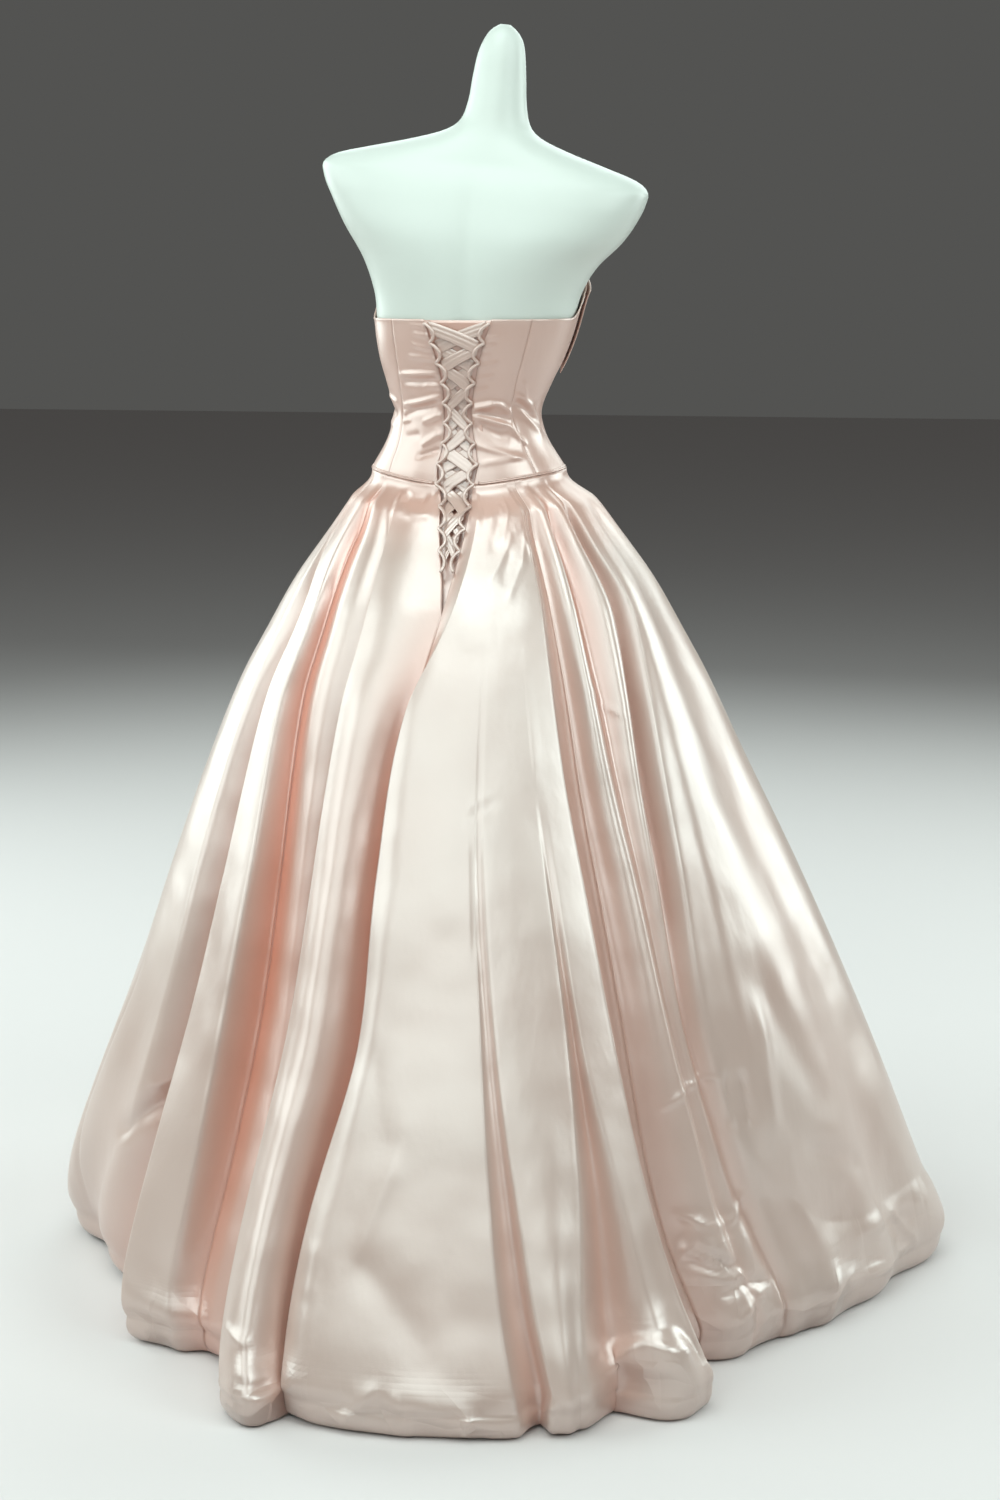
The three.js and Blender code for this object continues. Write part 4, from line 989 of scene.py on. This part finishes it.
lacing = []
for name, share, inward in (("lacing_loops_left", 0.0, 1), ("lacing_loops_right", 1.0, -1)):
    path = loop_path(share, inward)
    cord = make_tube(name + "_cord", path, CORD_RADIUS, CORD_SIDES)
    hand_over(cord, name)
    lacing.append(cord)
    print(name, "cord", round(np.linalg.norm(np.diff(path, axis=0), axis=1).sum()), "mm")

# %% [markdown]
# ## Lacing ribbon
# The two ends of one flat ribbon cross from loop to loop, one always above the other. Each end is a
# zigzag sheet, because the ribbon is too wide to pass for a cord. A slight crown and a few fine ribs
# across its width catch the light as the woven edge does.

# %% Ribbon
RIBBON_HEIGHT, RIBBON_WALL, RIBBON_RISE, RIBBON_INSET = 19, 0.5, 3, 5.5
RIBBON_UNDER, RIBBON_OVER = -1.0, 1.4
CROWN, CROWN_TILT, CROWN_ROUND, RIB_DEPTH, RIB_BEAT = 0.9, 2.2, 2.0, 0.25, 19


def ribbon_points(starts_left, legs=16, rows=13):
    lines = []
    off = RIBBON_OVER if starts_left else RIBBON_UNDER
    up = np.linspace(0.5, -0.5, rows) * RIBBON_HEIGHT
    rib = up / RIBBON_HEIGHT
    crown = CROWN - CROWN_TILT * rib - CROWN_ROUND * rib ** 2 + RIB_DEPTH * np.cos(rib * RIB_BEAT)
    for k in range(LOOP_COUNT - 1):
        leftward = (k % 2 == 0) == starts_left
        for s in np.linspace(0, 1, legs):
            share = s if leftward else 1 - s
            z = LOOP_TOP - LOOP_PITCH * (k + s) + RIBBON_RISE
            inset = mix(RIBBON_INSET, -RIBBON_INSET, share)
            lines.append(opening_point(share + 0 * up, z + up, off + crown, inset))
    return np.stack(lines, axis=1)


for name, starts_left, cut_length in (("lacing_ribbon_a", True, 0.75), ("lacing_ribbon_b", False, 0.73)):
    ribbon = make_sheet(name + "_cloth", ribbon_points(starts_left), RIBBON_WALL)
    ribbon.modifiers["wall"].offset = 0
    hand_over(ribbon, name)
    lacing.append(ribbon)
    print(name, "cloth", round(sheet_area(ribbon), 4), "m2")

# %% [markdown]
# ## The dress form
# The form is one smooth moulding: a tapered neck, sloping shoulders cut off at the arm, and a back
# with a shallow hollow between the shoulder blades. It could be sculpted from a sphere, but the bodice
# already reads the figure's sections, so the same sections are wrapped into a closed shell. Its
# shoulder line leans, as the form in the photograph does.

# %% Form
BLADE, BLADE_TURN, BLADE_WIDE, BLADE_HEIGHT, BLADE_TALL = 3.0, 36, 17, 1440, 50
SPINE, SPINE_WIDE = -3.0, 9
SPINE_FROM, SPINE_FROM_RUN, SPINE_TO, SPINE_TO_RUN = 1180, 120, 1560, 90
SHOULDER_ROLL, ROLL_FROM, ROLL_FULL = 5.6 * DEG, 1350, 1500
LARGEST_HOLE = 130


def form_points(cols=120, rows=170):
    z = mix(FORM[-1][0], FORM[0][0], np.linspace(0, 1, rows))[:, None]
    angle = np.linspace(0, 360, cols + 1)[None, :] + 0 * z
    radius = form_radius(angle, z)
    turn = np.minimum(np.mod(angle, 360), 360 - np.mod(angle, 360))
    by_turn, by_height = (turn - BLADE_TURN) / BLADE_WIDE, (z - BLADE_HEIGHT) / BLADE_TALL
    blade = BLADE * np.exp(-(by_turn ** 2) - by_height ** 2)
    length = smooth((z - SPINE_FROM) / SPINE_FROM_RUN) * smooth((SPINE_TO - z) / SPINE_TO_RUN)
    spine = SPINE * np.exp(-((turn / SPINE_WIDE) ** 2)) * length
    points = polar(form_side(z), angle, radius + blade + spine, z + 0 * angle)
    roll = math.tan(SHOULDER_ROLL) * smooth((z - ROLL_FROM) / (ROLL_FULL - ROLL_FROM))
    points[..., 2] += (points[..., 0] - form_side(z)) * roll
    return points


torso = make_sheet("form_torso_shell", form_points(), 0)
close_seam(torso, LARGEST_HOLE)
hand_over(torso, "form_torso")
print("form", len(torso.data.vertices), "vertices")

# %% [markdown]
# ## The stand
# Under the skirt a pole rises from a round base. Both are turned metal, so both start as cylinders.
# The top face of the base is inset and raised into a low dish, the top of the pole is inset, and a
# Bevel modifier rounds the rims. A lathe profile with Spin would do as well, but takes more steps.

# %% Stand helpers
STAND_X, STAND_Y = (FORM[0][1] + PLACE[0]) * MM, PLACE[1] * MM
RIM_ANGLE, RIM_SEGMENTS = math.radians(35), 3
FACES_UP, SAME_HEIGHT = 0.9, 0.0005


def select_top(piece, height):
    bpy.ops.object.mode_set(mode="EDIT")
    bpy.ops.mesh.select_all(action="DESELECT")
    bpy.ops.object.mode_set(mode="OBJECT")
    for face in piece.data.polygons:
        face.select = face.normal.z > FACES_UP and abs(face.center.z - height) < SAME_HEIGHT
    bpy.ops.object.mode_set(mode="EDIT")


def new_cylinder(name, vertices, radius, low, high):
    deselect()
    bpy.ops.mesh.primitive_cylinder_add(vertices=vertices, radius=radius, depth=high - low,
                                        location=(STAND_X, STAND_Y, (high + low) / 2))
    piece = bpy.context.object
    piece.name = piece.data.name = name
    bpy.ops.object.transform_apply(location=True, rotation=True, scale=True)
    select_top(piece, high)
    return piece


def round_rims(piece, width):
    bpy.ops.object.mode_set(mode="OBJECT")
    bevel = piece.modifiers.new("rim", "BEVEL")
    bevel.width = width
    bevel.segments = RIM_SEGMENTS
    bevel.limit_method = "ANGLE"
    bevel.angle_limit = RIM_ANGLE
    bpy.ops.object.modifier_apply(modifier="rim")
    bpy.ops.object.shade_smooth_by_angle(angle=RIM_ANGLE)


print("stand at", round(STAND_X, 4), round(STAND_Y, 4))

# %% Base and pole
BASE_SIDES, BASE_RADIUS, BASE_HEIGHT, BASE_RIM = 96, 0.190, 0.014, 0.0015
DISH_RISE, DISH_EDGE, DISH_MIDDLE = 0.004, 0.02, 0.10
POLE_SIDES, POLE_RADIUS, POLE_TOP, POLE_GAP = 48, 0.016, 0.9047, 0.0003
POLE_INSET, POLE_RIM = 0.004, 0.001

base = new_cylinder("stand_base_disc", BASE_SIDES, BASE_RADIUS, 0, BASE_HEIGHT - DISH_RISE)
bpy.ops.mesh.inset(thickness=DISH_EDGE)
bpy.ops.mesh.extrude_region_move(TRANSFORM_OT_translate={"value": (0, 0, DISH_RISE)})
bpy.ops.mesh.inset(thickness=DISH_MIDDLE)
round_rims(base, BASE_RIM)
hand_over(base, "stand_base")

pole = new_cylinder("stand_pole_tube", POLE_SIDES, POLE_RADIUS, BASE_HEIGHT + POLE_GAP, POLE_TOP)
bpy.ops.mesh.inset(thickness=POLE_INSET)
round_rims(pole, POLE_RIM)
hand_over(pole, "stand_pole")
print("base", len(base.data.polygons), "faces, pole", len(pole.data.polygons), "faces")

# %% [markdown]
# ## Finishes
# A finish is a small tree of shader nodes. Wiring each node by hand takes many lines, so shader maths
# reads as plain expressions here: `Signal` wraps a socket and its operators add Math nodes, and
# `Finish.node` adds any other node. All patterns read Object coordinates, so they stay put on a piece.

# %% Shader helpers


class Signal:
    def __init__(self, finish, socket):
        self.finish, self.socket = finish, socket

    def _math(self, operation, first, second):
        return self.finish.node("ShaderNodeMath", {"operation": operation}, {0: first, 1: second})

    def __add__(self, other):
        return self._math("ADD", self, other)

    def __radd__(self, other):
        return self._math("ADD", other, self)

    def __mul__(self, other):
        return self._math("MULTIPLY", self, other)

    def __rmul__(self, other):
        return self._math("MULTIPLY", other, self)


class Finish:
    def __init__(self, name):
        self.material = bpy.data.materials.new(name)
        self.material.use_nodes = True
        self.tree = self.material.node_tree
        self.shader = self.tree.nodes["Principled BSDF"]
        self.place = self.node("ShaderNodeTexCoord", {}, {}, "Object")

    def node(self, kind, settings, inputs, output=0):
        made = self.tree.nodes.new(kind)
        for key, value in settings.items():
            setattr(made, key, value)
        for key, value in inputs.items():
            self.feed(made.inputs[key], value)
        return Signal(self, made.outputs[output])

    def feed(self, socket, value):
        if isinstance(value, Signal):
            self.tree.links.new(value.socket, socket)
        else:
            socket.default_value = value

    def set(self, **sockets):
        for key, value in sockets.items():
            self.feed(self.shader.inputs[key.replace("_", " ")], value)

    def attribute(self, name):
        return self.node("ShaderNodeAttribute", {"attribute_name": name}, {}, "Fac")

    def noise(self, scale, detail=3.0, stretch=None):
        place = self.place
        if stretch:
            place = self.node("ShaderNodeMapping", {}, {"Vector": place, "Scale": stretch})
        return self.node("ShaderNodeTexNoise", {}, {"Vector": place, "Scale": scale, "Detail": detail})

    def warp(self, scale, amount):
        swirl = self.node("ShaderNodeTexNoise", {}, {"Vector": self.place, "Scale": scale}, "Color")
        push = self.node("ShaderNodeVectorMath", {"operation": "SCALE"}, {0: swirl, "Scale": amount})
        return self.node("ShaderNodeVectorMath", {"operation": "ADD"}, {0: self.place, 1: push})

    def blend(self, factor, first, second):
        return self.node("ShaderNodeMix", {"data_type": "RGBA"}, {0: factor, 6: first, 7: second}, 2)

    def bump(self, height, distance, strength, onto=None):
        sockets = {"Height": height, "Distance": distance, "Strength": strength}
        if onto:
            sockets["Normal"] = onto
        return self.node("ShaderNodeBump", {}, sockets)

    def dress(self, *pieces):
        for piece in pieces:
            piece.data.materials.clear()
            piece.data.materials.append(self.material)


print("materials so far:", len(bpy.data.materials))

# %% [markdown]
# ## Satin
# Satin is smooth and dense: broad soft highlights that run almost to white, a blush body colour, and a
# warmer coral where light bounces from fold to fold. Real bounced light alone gives too little of that
# warmth, so the coral mark on the mesh paints it in: painted bounce light and painted shade in the
# valleys, and painted shade in the troughs and tucks. Four layers of bump break up the gloss: a wide
# billow, faint rumples, sharp facets in the crumpled places, and very fine weft lines. The bodice, the
# lacing and the modesty panel each get coral over the whole piece as painted shade: a little on the
# lacing, more on the bodice, which turns away from the lamps, and most on the modesty panel, which
# lies in shadow behind the lacing.

# %% Satin finish
BLUSH = (0.46, 0.295, 0.24, 1)
BLUSH_LIGHT = (0.54, 0.42, 0.368, 1)
# coral painted into the folds and over whole pieces as bounce light and shade
CORAL_SHADE = (0.62, 0.225, 0.14, 1)
CLOUD_SCALE, CLOUD_DETAIL = 4.2, 4.0
BILLOW_SCALE, BILLOW_DETAIL, BILLOW_DEEP, BILLOW_STRENGTH = 4.5, 2.0, 0.03, 0.42
RUMPLE_SCALE, RUMPLE_DETAIL, RUMPLE_STRETCH = 26.0, 3.0, (1.0, 1.0, 0.45)
RUMPLE_DEEP, RUMPLE_STRENGTH = 0.006, 0.16
FACET_SCALE, FACET_DEEP, FACET_STRENGTH = 9.0, 0.03, 0.8
FACET_WARP_SCALE, FACET_WARP = 6.0, 0.09
WEFT_SCALE, WEFT_DETAIL, WEFT_STRETCH = 900.0, 1.0, (0.25, 0.25, 2.2)
WEFT_DEEP, WEFT_STRENGTH = 0.0002, 0.25
SATIN_ROUGH, ROUGH_VARY, ROUGH_SCALE, ROUGH_DETAIL = 0.275, 0.15, 8.0, 4.0
# painted shade: how much coral goes over the whole bodice, lacing and modesty panel
BODICE_SHADE, LACING_SHADE, MODESTY_SHADE = 0.28, 0.1, 0.5


def satin(name, folded, shade_share=0.0):
    finish = Finish(name)
    colour = finish.blend(finish.noise(CLOUD_SCALE, CLOUD_DETAIL), BLUSH, BLUSH_LIGHT)
    # painted bounce light and shade, read from the coral mark on the mesh
    if folded:
        colour = finish.blend(finish.attribute("painted_shade"), colour, CORAL_SHADE)
    # painted shade over the whole piece
    if shade_share:
        colour = finish.blend(shade_share, colour, CORAL_SHADE)
    billow = finish.bump(finish.noise(BILLOW_SCALE, BILLOW_DETAIL), BILLOW_DEEP, BILLOW_STRENGTH)
    ripple = finish.noise(RUMPLE_SCALE, RUMPLE_DETAIL, RUMPLE_STRETCH)
    pressed = finish.bump(ripple, RUMPLE_DEEP, RUMPLE_STRENGTH, billow)
    if folded:
        facet = finish.node("ShaderNodeTexVoronoi", {"distance": "MANHATTAN"},
                            {"Vector": finish.warp(FACET_WARP_SCALE, FACET_WARP), "Scale": FACET_SCALE},
                            "Distance")
        crushed = facet * finish.attribute("crumple")
        pressed = finish.bump(crushed, FACET_DEEP, FACET_STRENGTH, pressed)
    weft = finish.noise(WEFT_SCALE, WEFT_DETAIL, WEFT_STRETCH)
    finish.set(Base_Color=colour,
               Roughness=SATIN_ROUGH + ROUGH_VARY * finish.noise(ROUGH_SCALE, ROUGH_DETAIL),
               Normal=finish.bump(weft, WEFT_DEEP, WEFT_STRENGTH, pressed))
    finish.set(Metallic=0.05, IOR=2.1, Specular_IOR_Level=0.9, Sheen_Weight=0.15, Sheen_Roughness=0.35)
    return finish


satin("skirt_satin", True).dress(*skirt)
satin("bodice_satin", False, BODICE_SHADE).dress(*bodice, band, welt)
satin("lacing_satin", False, LACING_SHADE).dress(*lacing)
satin("modesty_satin", False, MODESTY_SHADE).dress(modesty)
print("satin on", len(skirt) + len(bodice) + len(lacing) + 3, "pieces")

# %% [markdown]
# ## Form and stand finishes
# The form is glossy white plastic with a cool tint, and a faint haze keeps it from looking like plain
# paint. The stand is brushed grey metal: one stretched noise gives both its tone and its roughness,
# which is simpler than an anisotropic shader and survives a bake.

# %% Form and stand finish
FORM_TINT, FORM_TINT_LIGHT = (0.58, 0.62, 0.575, 1), (0.605, 0.645, 0.60, 1)
FORM_ROUGH, FORM_ROUGH_VARY, HAZE_SCALE, HAZE_DETAIL = 0.34, 0.06, 6.0, 2.0
GRAIN_SCALE, GRAIN_DEEP, GRAIN_STRENGTH = 40.0, 0.001, 0.03
STEEL, STEEL_LIGHT = (0.42, 0.43, 0.44, 1), (0.5, 0.51, 0.52, 1)
STEEL_ROUGH, STEEL_ROUGH_VARY = 0.34, 0.12
BRUSH_SCALE, BRUSH_DETAIL, BRUSH_STRETCH = 60.0, 2.0, (1.0, 1.0, 8.0)

gloss = Finish("form_gloss")
haze = gloss.noise(HAZE_SCALE, HAZE_DETAIL)
gloss.set(Base_Color=gloss.blend(haze, FORM_TINT, FORM_TINT_LIGHT),
          Roughness=FORM_ROUGH + FORM_ROUGH_VARY * haze,
          Normal=gloss.bump(gloss.noise(GRAIN_SCALE), GRAIN_DEEP, GRAIN_STRENGTH))
gloss.set(Specular_IOR_Level=0.4)
gloss.dress(torso)
metal = Finish("stand_metal")
brush = metal.noise(BRUSH_SCALE, BRUSH_DETAIL, BRUSH_STRETCH)
metal.set(Base_Color=metal.blend(brush, STEEL, STEEL_LIGHT),
          Roughness=STEEL_ROUGH + STEEL_ROUGH_VARY * brush, Metallic=0.9)
metal.dress(base, pole)
print("gloss on the form, brushed metal on the stand")

# %% [markdown]
# ## Light and floor
# Satin shows its lamps, so the look of the gown is mostly the look of the lights: seven large soft
# panels all round, faintly green so that the pink cloth turns cream where it shines. Small lamps would
# give hard white spots instead. The floor is a plain pale sheet.

# %% Floor and air
FLOOR_SIZE, FLOOR_DROP = 40, 0.001
FLOOR_TINT, FLOOR_ROUGH = (0.66, 0.62, 0.615, 1), 0.8
AIR_TINT, AIR_STRENGTH = (0.96, 0.96, 0.92, 1), 0.09

deselect()
bpy.ops.mesh.primitive_plane_add(size=FLOOR_SIZE, location=(0, 0, -FLOOR_DROP))
floor = bpy.context.object
floor.name = "studio_floor"
pale = Finish("studio_floor")
pale.set(Base_Color=FLOOR_TINT, Roughness=FLOOR_ROUGH)
pale.dress(floor)
world = bpy.context.scene.world or bpy.data.worlds.new("studio")
bpy.context.scene.world = world
world.use_nodes = True
world.node_tree.nodes["Background"].inputs["Color"].default_value = AIR_TINT
world.node_tree.nodes["Background"].inputs["Strength"].default_value = AIR_STRENGTH
print("floor", FLOOR_SIZE, "m wide")

# %% Lamps
LAMP_COLOUR = (0.87, 1.0, 0.975)
LAMP_AIM = Vector((0, 0, 0.75))
# lamp, place, width and height, power
LAMPS = [
    ("key_light", (0.5, 3.7, 3.1), (4.2, 2.8), 86),
    ("high_light", (0.2, 1.6, 4.8), (3.2, 1.9), 88),
    ("left_light", (3.7, 1.4, 2.7), (3.2, 2.8), 90),
    ("right_light", (-3.3, 2.0, 3.3), (2.2, 2.4), 78),
    ("far_left_light", (3.6, -1.7, 1.9), (2.6, 2.6), 84),
    ("far_right_light", (-3.3, -2.1, 1.9), (2.0, 2.6), 74),
    ("front_light", (-0.3, -3.7, 3.1), (4.2, 2.8), 80),
]


def soft_light(name, place, size, power):
    deselect()
    facing = (LAMP_AIM - Vector(place)).to_track_quat("-Z", "Y").to_euler()
    bpy.ops.object.light_add(type="AREA", location=place, rotation=facing)
    lamp = bpy.context.object
    lamp.name = name
    lamp.data.shape = "RECTANGLE"
    lamp.data.size, lamp.data.size_y = size
    lamp.data.energy = power
    lamp.data.color = LAMP_COLOUR


for lamp_row in LAMPS:
    soft_light(*lamp_row)
bpy.context.scene.view_settings.view_transform = "Standard"
print(len(LAMPS), "soft lamps")
